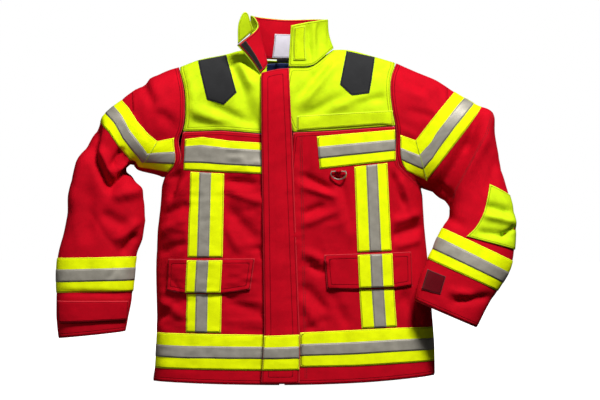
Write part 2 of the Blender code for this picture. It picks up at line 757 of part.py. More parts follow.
def make_pockets():
    """Each pocket: a bag behind the slot in the panel, a flap hinged over the slot, its tape."""
    for side, ((x_low, x_high), (z_low, z_high)) in POCKETS.items():
        pivot = pocket_pivot(side)
        top = ((x_low, z_low), (x_high, z_high))
        lift, thick = POCKET_FLAP_LIFT, POCKET_FLAP_THICKNESS
        low = POCKET_FLAP_LOW[side]
        front_piece(side + "_pocket_flap", "shell_red", low, top, 9, 3, lift, thick, pivot)
        lift += thick + TRIM_GAP
        front_piece(side + "_flap_band", "reflective_tape", *FLAP_BANDS[side], 3, 3, lift, TRIM, pivot)
        flat = torso_patch(
            straight((x_low + 0.008, -0.590), (x_high - 0.008, -0.590)),
            straight((x_low + 0.008, z_low - 0.004), (x_high - 0.008, z_high - 0.004)),
            straight((x_low + 0.008, -0.590), (x_low + 0.008, z_low - 0.004)),
            straight((x_high - 0.008, -0.590), (x_high - 0.008, z_high - 0.004)),
        )

        def bag(u, v, offset, flat=flat):
            u = float(np.interp(8 * u, (0, 1, 7, 8), (0, 0.03, 0.97, 1)))
            v = float(np.interp(7 * v, (0, 1, 6, 7), (0, 0.03, 0.97, 1)))
            rim = min(u, 1 - u, v, 1 - v) < 0.01
            return flat(u, v, offset - (0.0 if rim else 0.0095))

        sheet(side + "_pocket_bag", "barrier_black", bag, 8, 7, -0.0036, 0.0009)


RING_TAB = (0.1060, -0.2499)


def make_ring():
    """A D-ring whose straight bar turns in a folded webbing tab under the chest band."""
    x, z = RING_TAB
    bar = on_torso(x, z, 0.0056)
    out = on_torso(x, z, 0.0066) - bar
    out = np.array([0, out[1], out[2]]) / np.linalg.norm(out[1:])
    up = np.array([0, -out[2], out[1]])
    up *= np.sign(up[2])

    def fold(u, v, offset):
        angle = math.radians(-60 + 300 * v)
        radius = 0.0030 + offset
        middle = bar + np.array([0.0130 * (u - 0.5), 0, 0])
        return middle + radius * (math.sin(angle) * out - math.cos(angle) * up * -1)

    sheet("d_ring_tab", "shell_red", fold, 1, 10, 0.0, 0.0012)
    half, radius, wire_radius = 0.0165, 0.0150, 0.0017
    points = [bar + np.array([half * s, 0, 0]) for s in (-0.92, -0.4, 0, 0.4, 0.92)]
    for k in range(9):
        angle = math.radians(10 + 160 * k / 8)
        reach = np.array([half * math.cos(angle) * 1.06, 0, 0])
        points.append(bar + reach - up * (0.003 + radius * math.sin(angle)) + out * 0.001)
    wire("d_ring", "ring_steel", points, wire_radius, bar, closed=True)


# Collar


def collar_patch(p_low, p_high, h_low, h_high):
    def at(u, v, offset):
        return collar(p_low + (p_high - p_low) * u, h_low + (h_high - h_low) * v, offset)

    return at


def space_patch(low, high, outward):
    """A patch between two runs in space, whose outside faces the given way."""
    surface = with_normal(lambda u, v: (1 - v) * low(u) + v * high(u))
    side = np.sign(np.dot(surface(0.5, 0.5, 0.001) - surface(0.5, 0.5, 0.0), outward))
    return lambda u, v, offset: surface(u, v, side * offset)


CHIN_LEFT = through((-0.1140, -0.1392, 0.0290), (-0.1130, -0.1440, 0.0700), (-0.1030, -0.1400, 0.0985))
CHIN_RIGHT = through((-0.0800, -0.1200, 0.0600), (-0.0860, -0.1290, 0.0760), (-0.0930, -0.1360, 0.0985))


def make_collar():
    sheet("collar_shell", "yoke_yellow", collar, 28, 4, 0.0004, 0.0018)
    lining = collar_patch(0.006, 0.994, 0.015, 0.985)
    sheet("collar_lining", "shell_red", lining, 28, 4, -0.0022, 0.0018)
    patch = collar_patch(0.925, 0.982, 0.14, 0.93)
    sheet("collar_loop_patch", "loop_tape_yellow", patch, 4, 4, 0.0031, 0.0016)
    chin = space_patch(CHIN_LEFT, CHIN_RIGHT, (0, -1, 0))
    sheet("chin_flap", "yoke_yellow", chin, 4, 4, 0.0, 0.0022, pivot=chin_axis()[0])
    label = collar_patch(0.470, 0.530, 0.04, 0.62)
    sheet("size_label", "label_white", label, 3, 4, -0.0040, 0.0006)
    for name, low, high in (("right", 0.010, 0.032), ("left", 0.968, 0.990)):
        tape = collar_patch(low, high, 0.06, 0.96)
        sheet(name + "_collar_zip", "zip_black", tape, 2, 4, -0.0042, 0.0012)


def chin_axis():
    """The middle of the chin flap's fold at the collar's edge, and the fold's direction."""
    low, high = CHIN_LEFT(0), CHIN_RIGHT(0)
    return (low + high) / 2, (high - low) / np.linalg.norm(high - low)


def make_hanger_loop():
    """A small webbing loop at the neck seam, bowed forward, whose middle is the origin."""
    span, sag = 0.060, 0.0125

    def at(u, v, offset):
        bow = math.sin(math.pi * u)
        return np.array([span * (u - 0.5), -sag * bow - offset, 0.0045 * (2 * v - 1)])

    sheet("hanger_loop", "zip_black", at, 8, 1, 0.0, 0.0015)


# Front closure

TAPE_HALF = 0.0140  # zip tape, from its teeth to its outer edge
TEETH = 0.0046
TEETH_GAP = 0.0006  # half the gap between the two rows of teeth
FLAP_FREE = straight((-0.0627, -0.0374), (-0.0623, -0.1628), (-0.0561, -0.5984), (-0.0627, -0.7088))
FLAP_SEWN = straight((-0.0022, -0.0242), (0.0044, -0.1628), (0.0209, -0.5984), (0.0209, -0.7088))
FLAP_THICKNESS = 0.0030
SLIDER_Z = ZIP_TOP_Z - 0.016
STOP_Z = ZIP_BOTTOM_Z + 0.006  # the bottom stop joins the two rows of teeth
PLATE = (0.0098, 0.0012, 0.0150)  # the slider's two plates: wide, thick, tall


def strip_patch(x_low, x_high, low, high):
    """A tall narrow strip of the torso's front, between two lines x(z)."""
    return torso_patch(
        straight((x_low(low), low), (x_high(low), low)),
        straight((x_low(high), high), (x_high(high), high)),
        vertical(x_low, low, high, 9),
        vertical(x_high, low, high, 9),
    )


def make_zip():
    """Two tapes behind the front edges, with a row of teeth on each below the slider."""
    for name, way, edge, top in (
        ("right", -1, right_edge, -0.085),
        ("left", 1, left_edge, -0.032),
    ):
        tape = strip_patch(
            lambda z: edge(z) + way * (-0.0002 if way > 0 else TAPE_HALF),
            lambda z: edge(z) + way * (TAPE_HALF if way > 0 else -0.0002),
            ZIP_BOTTOM_Z,
            top,
        )
        sheet(name + "_zip_tape", "zip_black", tape, 1, 16, -0.0040, 0.0010)
    rows = (-TEETH, -TEETH_GAP, TEETH_GAP, TEETH)

    def teeth(u, v, offset):
        z = float(np.interp(10 * v, (0, 1, 10), (ZIP_BOTTOM_Z, STOP_Z, ZIP_TOP_Z - 0.008)))
        return on_torso(zip_x(z) + float(np.interp(3 * u, range(4), rows)), z, offset)

    def between(u, v):
        return 1 < 3 * u < 2 and v > 0.1

    sheet("zip_teeth", "zip_black", teeth, 3, 10, -0.0028, 0.0022, drop_cell=between)


def zip_frame():
    """The zip's place at the slider, its downward way, the way across it and the way out of it."""
    place = on_torso(zip_x(SLIDER_Z), SLIDER_Z)
    low = on_torso(zip_x(SLIDER_Z - 0.3), SLIDER_Z - 0.3)
    down = (low - place) / np.linalg.norm(low - place)
    out = np.array([0, -1, 0]) + down * down[1]
    out /= np.linalg.norm(out)
    return place, down, np.cross(down, out), out


def slider_block(size, lift, along=0.0):
    place, down, side, out = zip_frame()
    made = bmesh.new()
    bmesh.ops.create_cube(made, size=1.0)
    bmesh.ops.scale(made, vec=size, verts=made.verts)
    for vertex in made.verts:
        x, y, z = vertex.co
        vertex.co = place + side * x + out * (lift - y) + down * (along - z)
    made.normal_update()
    bmesh.ops.recalc_face_normals(made, faces=made.faces)
    return made


def make_slider():
    """A plate either side of the teeth, joined by a thin bridge that runs between the two rows,
    and a pull tab that hangs on the front."""
    front = PLATE[1] / 2
    back = -0.0034 - PLATE[1] / 2
    slider = add(slider_block(PLATE, front), "zip_slider", "slider_steel", pivot=zip_frame()[0])
    plate = slider_block(PLATE, back)
    bridge = slider_block((2 * TEETH_GAP - 0.0006, front - back, 0.0100), (front + back) / 2)
    for k, made in enumerate((plate, bridge)):
        helper = add(made, f"slider_piece_{k}", "slider_steel")
        COAT.objects.unlink(helper)
        HELPERS.objects.link(helper)
        helper.hide_render = True
        union = slider.modifiers.new("Join", "BOOLEAN")
        union.operation = "UNION"
        union.object = helper
    lift = front + PLATE[1] / 2 + 0.0011
    pull = slider_block((0.0062, 0.0012, 0.0260), lift, 0.0120)
    add(pull, "zip_pull", "slider_steel", pivot=pull_pivot())


def pull_pivot():
    place, down, _, out = zip_frame()
    return place + out * (PLATE[1] + 0.0011) - down * 0.0010


def flap_lift(u):
    """How far the storm flap stands off, from its free edge across to its sewn edge."""
    return FLAP_LIFT - (FLAP_LIFT - TRIM_GAP) * min(max((u - 0.50) / 0.42, 0), 1) ** 1.5


def flap_axis():
    """A point on the storm flap's hinge line, just past its sewn edge, and the line's way up."""
    low = on_torso(*FLAP_SEWN(0.98), TRIM_GAP + FLAP_THICKNESS)
    high = on_torso(*FLAP_SEWN(0.02), TRIM_GAP + FLAP_THICKNESS)
    way = (high - low) / np.linalg.norm(high - low)
    return low + (high - low) * 0.5 + np.array([0.004, 0, 0]), way


def make_storm_flap():
    """The flap over the zip, with its own length of hem tape, hinged along its sewn edge."""
    patch = torso_patch(
        straight(FLAP_FREE(1), FLAP_SEWN(1)),
        straight(FLAP_FREE(0), FLAP_SEWN(0)),
        lambda t: FLAP_FREE(1 - t),
        lambda t: FLAP_SEWN(1 - t),
    )

    def flap(u, v, offset):
        return patch(u, v, flap_lift(u) + offset)

    def fine_at_top(u, v, offset):
        return flap(u, float(np.interp(v, (0, 0.5, 1), (0, 0.83, 1))), offset)

    pivot = flap_axis()[0]
    sheet("storm_flap", "shell_red", fine_at_top, 6, 16, 0.0, FLAP_THICKNESS, pivot=pivot)
    low, high = 0.0440, 0.1560

    def band(u, v, offset):
        return flap(0.012 + 0.970 * u, low + (high - low) * v, offset)

    gap = FLAP_THICKNESS + TRIM_GAP
    sheet("storm_flap_band", "reflective_tape", band, 6, 3, gap, TRIM, pivot=pivot)


# Liner

FRONT_LINER_INSET = 0.030


def liner_half(side, armhole, tip, edge, front_end):
    """One front panel of the liner, from the shoulder down to above the hem."""
    way = 1 if side(-0.4) < 0 else -1
    outer = [(side(z) + way * 0.004, z) for z in np.linspace(-0.680, -0.300, 5)]
    outer += [(armhole(z) + way * 0.016, z) for z in (-0.240, -0.160, -0.090)]
    upper = [spot(*place) for place in outer]
    inner = [(edge(z) - way * FRONT_LINER_INSET, z) for z in np.linspace(-0.680, -0.080, 7)]
    low = [(side(-0.68) + way * 0.004, -0.680), (edge(-0.68) - way * FRONT_LINER_INSET, -0.680)]
    top = chain(
        0.5,
        shoulder_run(tip + way * 0.016, NECK_SIDES[0 if way > 0 else 1] - way * 0.016),
        straight(
            shoulder_run(*[NECK_SIDES[0 if way > 0 else 1] - way * 0.016] * 2)(0),
            spot(front_end, -0.060),
        ),
    )
    return on_grid(
        level(straight(*low)),
        top,
        straight(*upper, shoulder_run(*[tip + way * 0.016] * 2)(0)),
        across(straight(*inner)),
    )


def make_liner():
    """The quilted liner, in three panels that stand a little inside the shell."""
    depth = -LINER_DEPTH
    right = liner_half(RIGHT_SIDE, RIGHT_ARMHOLE, -0.2445, right_edge, -0.096)
    sheet("right_liner", "liner_navy", right, 8, 10, depth, FABRIC)
    left = liner_half(LEFT_SIDE, LEFT_ARMHOLE, 0.2337, left_edge, 0.040)
    sheet("left_liner", "liner_navy", left, 8, 10, depth, FABRIC)
    right = [(RIGHT_SIDE(z) + 0.004, z) for z in np.linspace(-0.680, -0.300, 5)]
    right += [(RIGHT_ARMHOLE(z) + 0.016, z) for z in (-0.240, -0.160, -0.090, -0.040)]
    left = [(LEFT_SIDE(z) - 0.004, z) for z in np.linspace(-0.680, -0.300, 5)]
    left += [(LEFT_ARMHOLE(z) - 0.016, z) for z in (-0.240, -0.160, -0.090, -0.040)]
    back = torso_patch(
        straight(right[0], left[0]),
        straight(right[-1], (-0.100, -0.026), (0.0, -0.034), (0.100, -0.026), left[-1]),
        straight(*right),
        straight(*left),
        front=False,
    )
    sheet("back_liner", "liner_navy", back, 14, 10, depth, FABRIC)


# Sleeves and what is sewn on them

SLEEVE_GAP = 0.0016  # between the sleeve and what is sewn on it


def round_piece(name, slot, sleeve, top, bottom, columns, rows):
    """A band right round the sleeve. Top and bottom: its outer and its inner point, x and z."""
    ends = [[sleeve.station(*point)[0] for point in pair] for pair in (top, bottom)]

    def station(pair):
        outer, inner = pair
        return lambda a: (outer + inner) / 2 + (outer - inner) / 2 * math.cos(a)

    patch = wrap_patch(sleeve, station(ends[0]), station(ends[1]))
    sheet(name, slot, patch, columns, rows, SLEEVE_GAP, TRIM, closed=True)


def folded_piece(name, slot, sleeve, top, bottom, columns, rows):
    """A piece over the sleeve's outer line, the same on the front and on the back. Top and bottom
    run from the outer line inwards."""

    def edge(points):
        places = [sleeve.place(*point) for point in points]
        places[0][1] = 0.0
        return straight(*places)

    above, below = edge(top), edge(bottom)

    def at(u, v, offset):
        t = abs(2 * u - 1)
        s, a = v * above(t) + (1 - v) * below(t)
        return sleeve.at(s, a if u > 0.5 else -a, offset)

    sheet(name, slot, at, columns, rows, SLEEVE_GAP, TRIM)


def side_piece(name, slot, sleeve, corners, columns, rows, lift, thickness, front=True, pivot=None):
    """A four-cornered piece on one side of the sleeve: low left, low right, top right, top left."""
    low_left, low_right, top_right, top_left = corners
    patch = flat_patch(
        sleeve,
        straight(low_left, low_right),
        straight(top_left, top_right),
        straight(low_left, top_left),
        straight(low_right, top_right),
        front,
    )
    sheet(name, slot, patch, columns, rows, lift, thickness, pivot=pivot)


HEAD_END = 0.20  # the sleeve's station where its head ends and the moving sleeve starts
SLEEVE_PIVOTS = {"right": (-0.240, MID_Y, -0.140), "left": (0.230, MID_Y, -0.147)}
STRAP_LIFT = 0.0036
STRAP_THICKNESS = 0.0024
RIGHT_STRAP = ((-0.5049, -0.5826), (-0.3604, -0.5755), (-0.3582, -0.5337), (-0.5078, -0.5337))
LEFT_STRAP = ((0.2981, -0.5291), (0.3960, -0.5577), (0.4180, -0.5192), (0.3157, -0.4730))


def strap_pivot(sleeve, corners, front):
    """The middle of the strap's sewn end, by the sleeve's inner line."""
    low, high = (corners[1], corners[2]) if sleeve is RIGHT_SLEEVE else (corners[0], corners[3])
    ends = [sleeve.at(*sleeve.place(*point, front), STRAP_LIFT) for point in (low, high)]
    return (ends[0] + ends[1]) / 2, (ends[1] - ends[0]) / np.linalg.norm(ends[1] - ends[0])


def make_sleeves():
    for name, sleeve in (("right", RIGHT_SLEEVE), ("left", LEFT_SLEEVE)):
        pivot = SLEEVE_PIVOTS[name]
        head = wrap_patch(sleeve, 0.016, HEAD_END)
        sheet(name + "_sleeve_head", "shell_red", head, 24, 5, -FABRIC, FABRIC, closed=True)
        arm = wrap_patch(sleeve, HEAD_END + 0.003, 1.0)
        sheet(name + "_sleeve", "shell_red", arm, 24, 18, -FABRIC, FABRIC, True, pivot=pivot)
        lining = wrap_patch(sleeve, 0.56, 0.985)
        sheet(name + "_sleeve_liner", "barrier_black", lining, 24, 8, -0.0062, 0.0012, True, pivot=pivot)


def make_sleeve_trims():
    tape = "reflective_tape"
    top = ((-0.3740, -0.0889), (-0.3542, -0.1100), (-0.3344, -0.1408), (-0.3089, -0.1694), (-0.2904, -0.1839), (-0.2541, -0.1760))
    low = ((-0.4253, -0.1364), (-0.3982, -0.1628), (-0.3762, -0.1958), (-0.3586, -0.2156), (-0.3366, -0.2420), (-0.2684, -0.2508))
    folded_piece("right_chevron_band", tape, RIGHT_SLEEVE, top, low, 28, 5)
    top = ((0.3630, -0.0739), (0.3454, -0.0939), (0.3102, -0.1364), (0.2757, -0.1815), (0.2497, -0.1727))
    low = ((0.4215, -0.1104), (0.3916, -0.1518), (0.3454, -0.2112), (0.3014, -0.2684), (0.2673, -0.2519))
    folded_piece("left_chevron_band", tape, LEFT_SLEEVE, top, low, 28, 5)
    round_piece("right_cuff_band", tape, RIGHT_SLEEVE, ((-0.5148, -0.4400), (-0.3388, -0.4365)), ((-0.5148, -0.5166), (-0.3476, -0.5135)), 24, 3)
    round_piece("left_cuff_band", tape, LEFT_SLEEVE, ((0.4884, -0.4462), (0.3335, -0.3733)), ((0.4532, -0.5104), (0.3014, -0.4407)), 24, 3)
    top = ((0.4796, -0.3014), (0.4371, -0.2765))
    folded_piece("left_elbow_patch", "yoke_yellow", LEFT_SLEEVE, top, ((0.4895, -0.4202), (0.3839, -0.3916)), 12, 6)
    patch = ((-0.4796, -0.4070), (-0.3564, -0.4070), (-0.3696, -0.2948), (-0.4532, -0.2684))
    side_piece("right_elbow_patch", "yoke_yellow", RIGHT_SLEEVE, patch, 7, 5, SLEEVE_GAP, TRIM, False)
    for name, sleeve, corners, front in (
        ("right", RIGHT_SLEEVE, RIGHT_STRAP, True),
        ("left", LEFT_SLEEVE, LEFT_STRAP, False),
    ):
        pivot, _ = strap_pivot(sleeve, corners, front)
        lift, thick = STRAP_LIFT, STRAP_THICKNESS
        side_piece(name + "_cuff_strap", "shell_red", sleeve, corners, 6, 1, lift, thick, front, pivot)
    patch = ((0.2871, -0.5071), (0.3267, -0.5181), (0.3388, -0.4785), (0.3003, -0.4631))
    side_piece("left_cuff_loop_patch", "loop_tape_red", LEFT_SLEEVE, patch, 3, 3, SLEEVE_GAP, 0.0014)


def main():
    make_yokes()
    make_panels()
    make_collar()
    make_hanger_loop()
    make_zip()
    make_slider()
    make_storm_flap()
    make_bands()
    make_yoke_trims()
    make_pockets()
    make_ring()
    make_liner()
    make_sleeves()
    make_sleeve_trims()


clear_scene()
COAT = collection(CENTRE)
HELPERS = collection("helpers")
main()
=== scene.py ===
"""How the turnout coat looks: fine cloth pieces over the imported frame, with folds, quilting,
stripes, stitching, zip teeth and materials. Metres, +Z up, the front faces -Y, and the origin is
the hanger loop inside the back of the neck. The form repeats the one the solids were made on."""

import math

import bpy
import numpy as np
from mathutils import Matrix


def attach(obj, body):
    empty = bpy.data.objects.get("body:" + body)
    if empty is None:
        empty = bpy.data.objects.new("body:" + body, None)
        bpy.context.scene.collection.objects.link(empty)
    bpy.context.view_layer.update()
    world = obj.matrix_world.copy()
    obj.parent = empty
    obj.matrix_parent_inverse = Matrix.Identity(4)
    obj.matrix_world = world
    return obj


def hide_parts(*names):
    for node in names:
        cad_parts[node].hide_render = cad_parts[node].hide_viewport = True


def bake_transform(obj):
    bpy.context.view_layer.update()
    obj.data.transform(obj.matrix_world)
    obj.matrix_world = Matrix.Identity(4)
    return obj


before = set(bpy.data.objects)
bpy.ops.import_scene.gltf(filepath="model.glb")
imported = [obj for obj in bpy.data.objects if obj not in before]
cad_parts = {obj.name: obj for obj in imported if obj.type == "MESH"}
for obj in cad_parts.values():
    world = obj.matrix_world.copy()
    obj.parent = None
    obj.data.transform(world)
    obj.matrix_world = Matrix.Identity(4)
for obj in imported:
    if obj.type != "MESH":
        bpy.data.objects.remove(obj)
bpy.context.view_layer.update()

FABRIC = 0.0016  # shell fabric, with its membrane
TRIM = 0.0008  # sewn-on tapes and patches
TRIM_GAP = 0.0006  # between a sewn-on piece and the cloth under it
SEAM = 0.0006  # half the gap between two panels sewn edge to edge
CELL = 0.004  # grid spacing of the cloth
EPS = 0.004  # step in a surface's own parameters that its normal is taken over
ARMPIT_Z = -0.262
MID_Y = -0.048
DEPTH_FRONT, DEPTH_BACK = 0.095, 0.085
ROLL_FRONT, ROLL_BACK = 0.13, 0.10
SQUARENESS = 3.2
ZIP_TOP_Z, ZIP_BOTTOM_Z = -0.17, -0.69
FOLD_GAIN = 1.7  # how much deeper the folds are than their tables say
SLEEVE_POWER = 2.4  # how square a sleeve's section is
SLEEVE_SPREAD = 0.13  # how far down a sleeve the armhole's shape reaches
LINER_LIFT = -0.0175  # the liner, from the outside of the shell
BAND_CELL = 0.004
TOOTH_PITCH, TEETH_PER_SIDE, TOOTH_LOW_Z = 0.0048, 104, -0.684
TOOTH_HALF_SIZE = (0.0020, 0.0011, 0.0013)
CAMERA_PLACE, CAMERA_LENS = (0.022, -6.0, -0.3124), 160.9
LIT_POINT = (0, 0, -0.35)
FLOOR_Z, FLOOR_HALF = -0.735, 12


# Curves and surfaces, on arrays of parameters


def smooth(keys, values):
    """A smooth curve through values at the given keys: cubic pieces with averaged slopes."""
    keys = np.asarray(keys, float)
    values = np.asarray(values, float)
    slopes = np.gradient(values, keys, axis=0)

    def at(key):
        key = np.clip(key, keys[0], keys[-1])
        i = np.clip(np.searchsorted(keys, key, side="right") - 1, 0, len(keys) - 2)
        step = keys[i + 1] - keys[i]
        f = (key - keys[i]) / step
        if values.ndim > 1:
            f, step = f[..., None], step[..., None]
        start = values[i] * (2 * f**3 - 3 * f**2 + 1) + slopes[i] * step * (f**3 - 2 * f**2 + f)
        end = values[i + 1] * (3 * f**2 - 2 * f**3) + slopes[i + 1] * step * (f**3 - f**2)
        return start + end

    return at


def through(*points):
    """A smooth run through points, as a function of 0 to 1."""
    return smooth(np.linspace(0, 1, len(points)), points)


def straight(*points):
    """A run of straight stretches through points, as a function of 0 to 1 by length."""
    points = np.asarray(points, float)
    steps = np.linalg.norm(np.diff(points, axis=0), axis=1)
    keys = np.concatenate([[0], np.cumsum(steps)]) / steps.sum()
    return lambda t: np.stack([np.interp(t, keys, column) for column in points.T], axis=-1)


def chain(share, first, second):
    """Two runs, one after the other: the first takes the given share of 0 to 1."""

    def at(t):
        early = np.asarray(t < share)[..., None]
        return np.where(early, first(t / share), second((t - share) / (1 - share)))

    return at


def coons(bottom, top, left, right):
    """The surface patch between four edge curves, whose sides are drawn to meet at the corners."""
    zero, one = np.array(0.0), np.array(1.0)

    def drawn(side, end):
        low, high = bottom(end) - side(zero), top(end) - side(one)
        return lambda v: side(v) + (1 - v)[..., None] * low + v[..., None] * high

    left, right = drawn(left, zero), drawn(right, one)

    def at(u, v):
        p, q = u[..., None], v[..., None]
        rows = (1 - q) * bottom(u) + q * top(u)
        columns = (1 - p) * left(v) + p * right(v)
        low = (1 - p) * bottom(zero) + p * bottom(one)
        high = (1 - p) * top(zero) + p * top(one)
        return rows + columns - (1 - q) * low - q * high

    return at


def with_normal(surface, outward=1):
    """surface(p, q) -> points, as a function (p, q, offset) that stands off along the normal."""

    def at(p, q, offset=0.0):
        along = surface(p + EPS, q) - surface(p - EPS, q)
        up = surface(p, q + EPS) - surface(p, q - EPS)
        normal = np.cross(along, up)
        normal *= outward / np.maximum(np.linalg.norm(normal, axis=-1), 1e-12)[..., None]
        return surface(p, q) + np.asarray(offset, float)[..., None] * normal

    return at


def ramp(value, start, end):
    """0 before start, 1 past end, and smooth between."""
    f = np.clip((value - start) / (end - start), 0, 1)
    return f * f * (3 - 2 * f)


def ripple(x, y, seed):
    """Smooth noise from -1 to 1 with features about one unit wide."""
    table = np.random.default_rng(seed).uniform(-1, 1, (64, 64))
    i, j = np.floor(x).astype(int), np.floor(y).astype(int)
    f, g = ramp(x - i, 0, 1), ramp(y - j, 0, 1)
    low = table[i % 64, j % 64] * (1 - f) + table[(i + 1) % 64, j % 64] * f
    high = table[i % 64, (j + 1) % 64] * (1 - f) + table[(i + 1) % 64, (j + 1) % 64] * f
    return low * (1 - g) + high * g


def fold(x, z, start, end, width, height, sharp=2.0):
    """A ridge (or, with a negative height, a valley) along a line, fading out at both ends."""
    start, end = np.asarray(start), np.asarray(end)
    line = end - start
    length = np.linalg.norm(line)
    along = ((x - start[0]) * line[0] + (z - start[1]) * line[1]) / length
    beyond = ((x - start[0]) * line[1] - (z - start[1]) * line[0]) / length
    ends = ramp(along, -0.25 * length, 0.2 * length) * ramp(-along, -1.25 * length, -0.8 * length)
    return height * ends * np.exp(-((np.abs(beyond) / width) ** sharp))


# The torso's outline and section

RIGHT_SIDE = smooth(
    [-0.715, -0.68, -0.576, -0.466, -0.40, -0.312, ARMPIT_Z, 0.1],
    [-0.304, -0.2995, -0.295, -0.297, -0.295, -0.286, -0.283, -0.283],
)
LEFT_SIDE = smooth(
    [-0.715, -0.64, -0.565, -0.431, -0.387, ARMPIT_Z - 0.02, ARMPIT_Z, 0.1],
    [0.321, 0.320, 0.3145, 0.3035, 0.299, 0.2928, 0.2925, 0.2925],
)
SHOULDER = smooth(
    [-0.30, -0.246, -0.205, -0.141, -0.117, 0.0, 0.090, 0.121, 0.187, 0.2355, 0.30],
    [-0.035, -0.0176, -0.0022, 0.011, 0.0176, 0.023, 0.0205, 0.0209, 0.0055, -0.0088, -0.03],
)
HEM = smooth([-0.31, -0.12, 0.02, 0.17, 0.325], [-0.7106, -0.716, -0.7165, -0.711, -0.698])


def even_angles():
    """Angles round the section, and even steps to match: wide where it is flat, fine at corners."""
    angles = np.linspace(-math.pi / 2, math.pi / 2, 361)
    sine, cosine = np.sin(angles), np.cos(angles)
    size = (np.abs(sine) ** SQUARENESS + np.abs(cosine) ** SQUARENESS) ** (1 / SQUARENESS)
    x, y = 0.305 * sine / size, -0.090 * cosine / size
    heading = np.unwrap(np.arctan2(np.gradient(y), np.gradient(x)))
    length = np.hypot(np.diff(x), np.diff(y))
    steps = np.cumsum(np.sqrt(np.abs(np.diff(heading)) * length) + 0.6 * length)
    steps = np.concatenate([[0], steps / steps[-1]])
    return angles, (steps - 0.5) * math.pi


ANGLES, STEPS = even_angles()


def section(x, z):
    """Where x lies across the torso at height z, in even steps round the section."""
    right, left = RIGHT_SIDE(z), LEFT_SIDE(z)
    u = np.clip((2 * x - right - left) / (left - right), -1, 1)
    v = (1 - np.abs(u) ** SQUARENESS) ** (1 / SQUARENESS)
    return np.interp(np.arctan2(u, v), ANGLES, STEPS)


def drop(x, z, front=True):
    """How far below the shoulder line: an angle over the roll, then on down in proportion."""
    fall = np.maximum(SHOULDER(x) - z, 0) / (ROLL_FRONT if front else ROLL_BACK)
    b = np.where(fall < 1, np.arccos(1 - np.minimum(fall, 1)), math.pi / 2 + fall - 1)
    return b if front else -b


def torso_surface(step, b):
    """The shell's outside. step goes across, b is the drop: positive in front, else behind."""
    theta = np.interp(step, STEPS, ANGLES)
    sine, cosine = np.sin(theta), np.cos(theta)
    size = (np.abs(sine) ** SQUARENESS + np.abs(cosine) ** SQUARENESS) ** (1 / SQUARENESS)
    u, v = sine / size, cosine / size
    roll = np.where(b >= 0, ROLL_FRONT, ROLL_BACK)
    depth = np.where(b >= 0, -DEPTH_FRONT, DEPTH_BACK)
    angle = np.abs(b)
    fall = np.where(angle < math.pi / 2, 1 - np.cos(angle), angle - math.pi / 2 + 1)
    bulge = np.sin(np.minimum(angle, math.pi / 2))
    z = SHOULDER(0.2875 * u + 0.0048) - roll * fall
    for _ in range(2):
        right, left = RIGHT_SIDE(z), LEFT_SIDE(z)
        x = (left + right) / 2 + (left - right) / 2 * u
        z = SHOULDER(x) - roll * fall
    return np.stack([x, MID_Y + depth * bulge * v, z], axis=-1)


bare_torso = with_normal(torso_surface, outward=-1)

RIGHT_ARMHOLE = smooth(
    [-0.262, -0.249, -0.174, -0.163, -0.103, -0.07, -0.0176],
    [-0.2829, -0.2596, -0.242, -0.2376, -0.231, -0.2332, -0.2464],
)
LEFT_ARMHOLE = smooth(
    [-0.286, -0.2464, -0.165, -0.1507, -0.1166, -0.033, -0.0088],
    [0.2926, 0.2464, 0.2332, 0.2323, 0.2255, 0.2255, 0.2354],
)
RIGHT_TIP, LEFT_TIP = -0.0176, -0.0088
RIGHT_PIT, LEFT_PIT = -0.262, -0.286


# Folds. Each is a line on the flat coat, its half width and its height, as x and z in metres.

YOKE_FOLDS = [
    # wearer's right
    ((-0.1342, -0.0044), (-0.1012, -0.0748), 0.011, -0.0045),
    ((-0.1144, -0.0044), (-0.0836, -0.0616), 0.010, 0.0045),
    ((-0.1034, -0.0748), (-0.077, -0.154), 0.016, -0.0045),
    ((-0.2266, -0.11), (-0.1496, -0.1408), 0.014, 0.0040),
    ((-0.176, -0.1056), (-0.0968, -0.1408), 0.011, -0.0040),
    ((-0.22, -0.1408), (-0.132, -0.1562), 0.012, -0.0025),
    ((-0.2288, -0.0264), (-0.2156, -0.0924), 0.012, 0.0030),
    # wearer's left
    ((0.0858, 0), (0.022, -0.0836), 0.011, -0.0045),
    ((0.1056, -0.0088), (0.0308, -0.099), 0.010, 0.0040),
    ((0.1122, -0.088), (0.033, -0.1276), 0.012, -0.0040),
    ((0.1672, -0.0902), (0.088, -0.11), 0.012, 0.0035),
    ((0.1364, -0.1012), (0.209, -0.088), 0.010, -0.0035),
    ((0.1936, -0.022), (0.2244, -0.0176), 0.009, -0.0035),
    ((0.1892, -0.044), (0.22, -0.0836), 0.014, 0.0030),
    ((0.0484, -0.0308), (0.0748, -0.0044), 0.008, 0.0030),
]
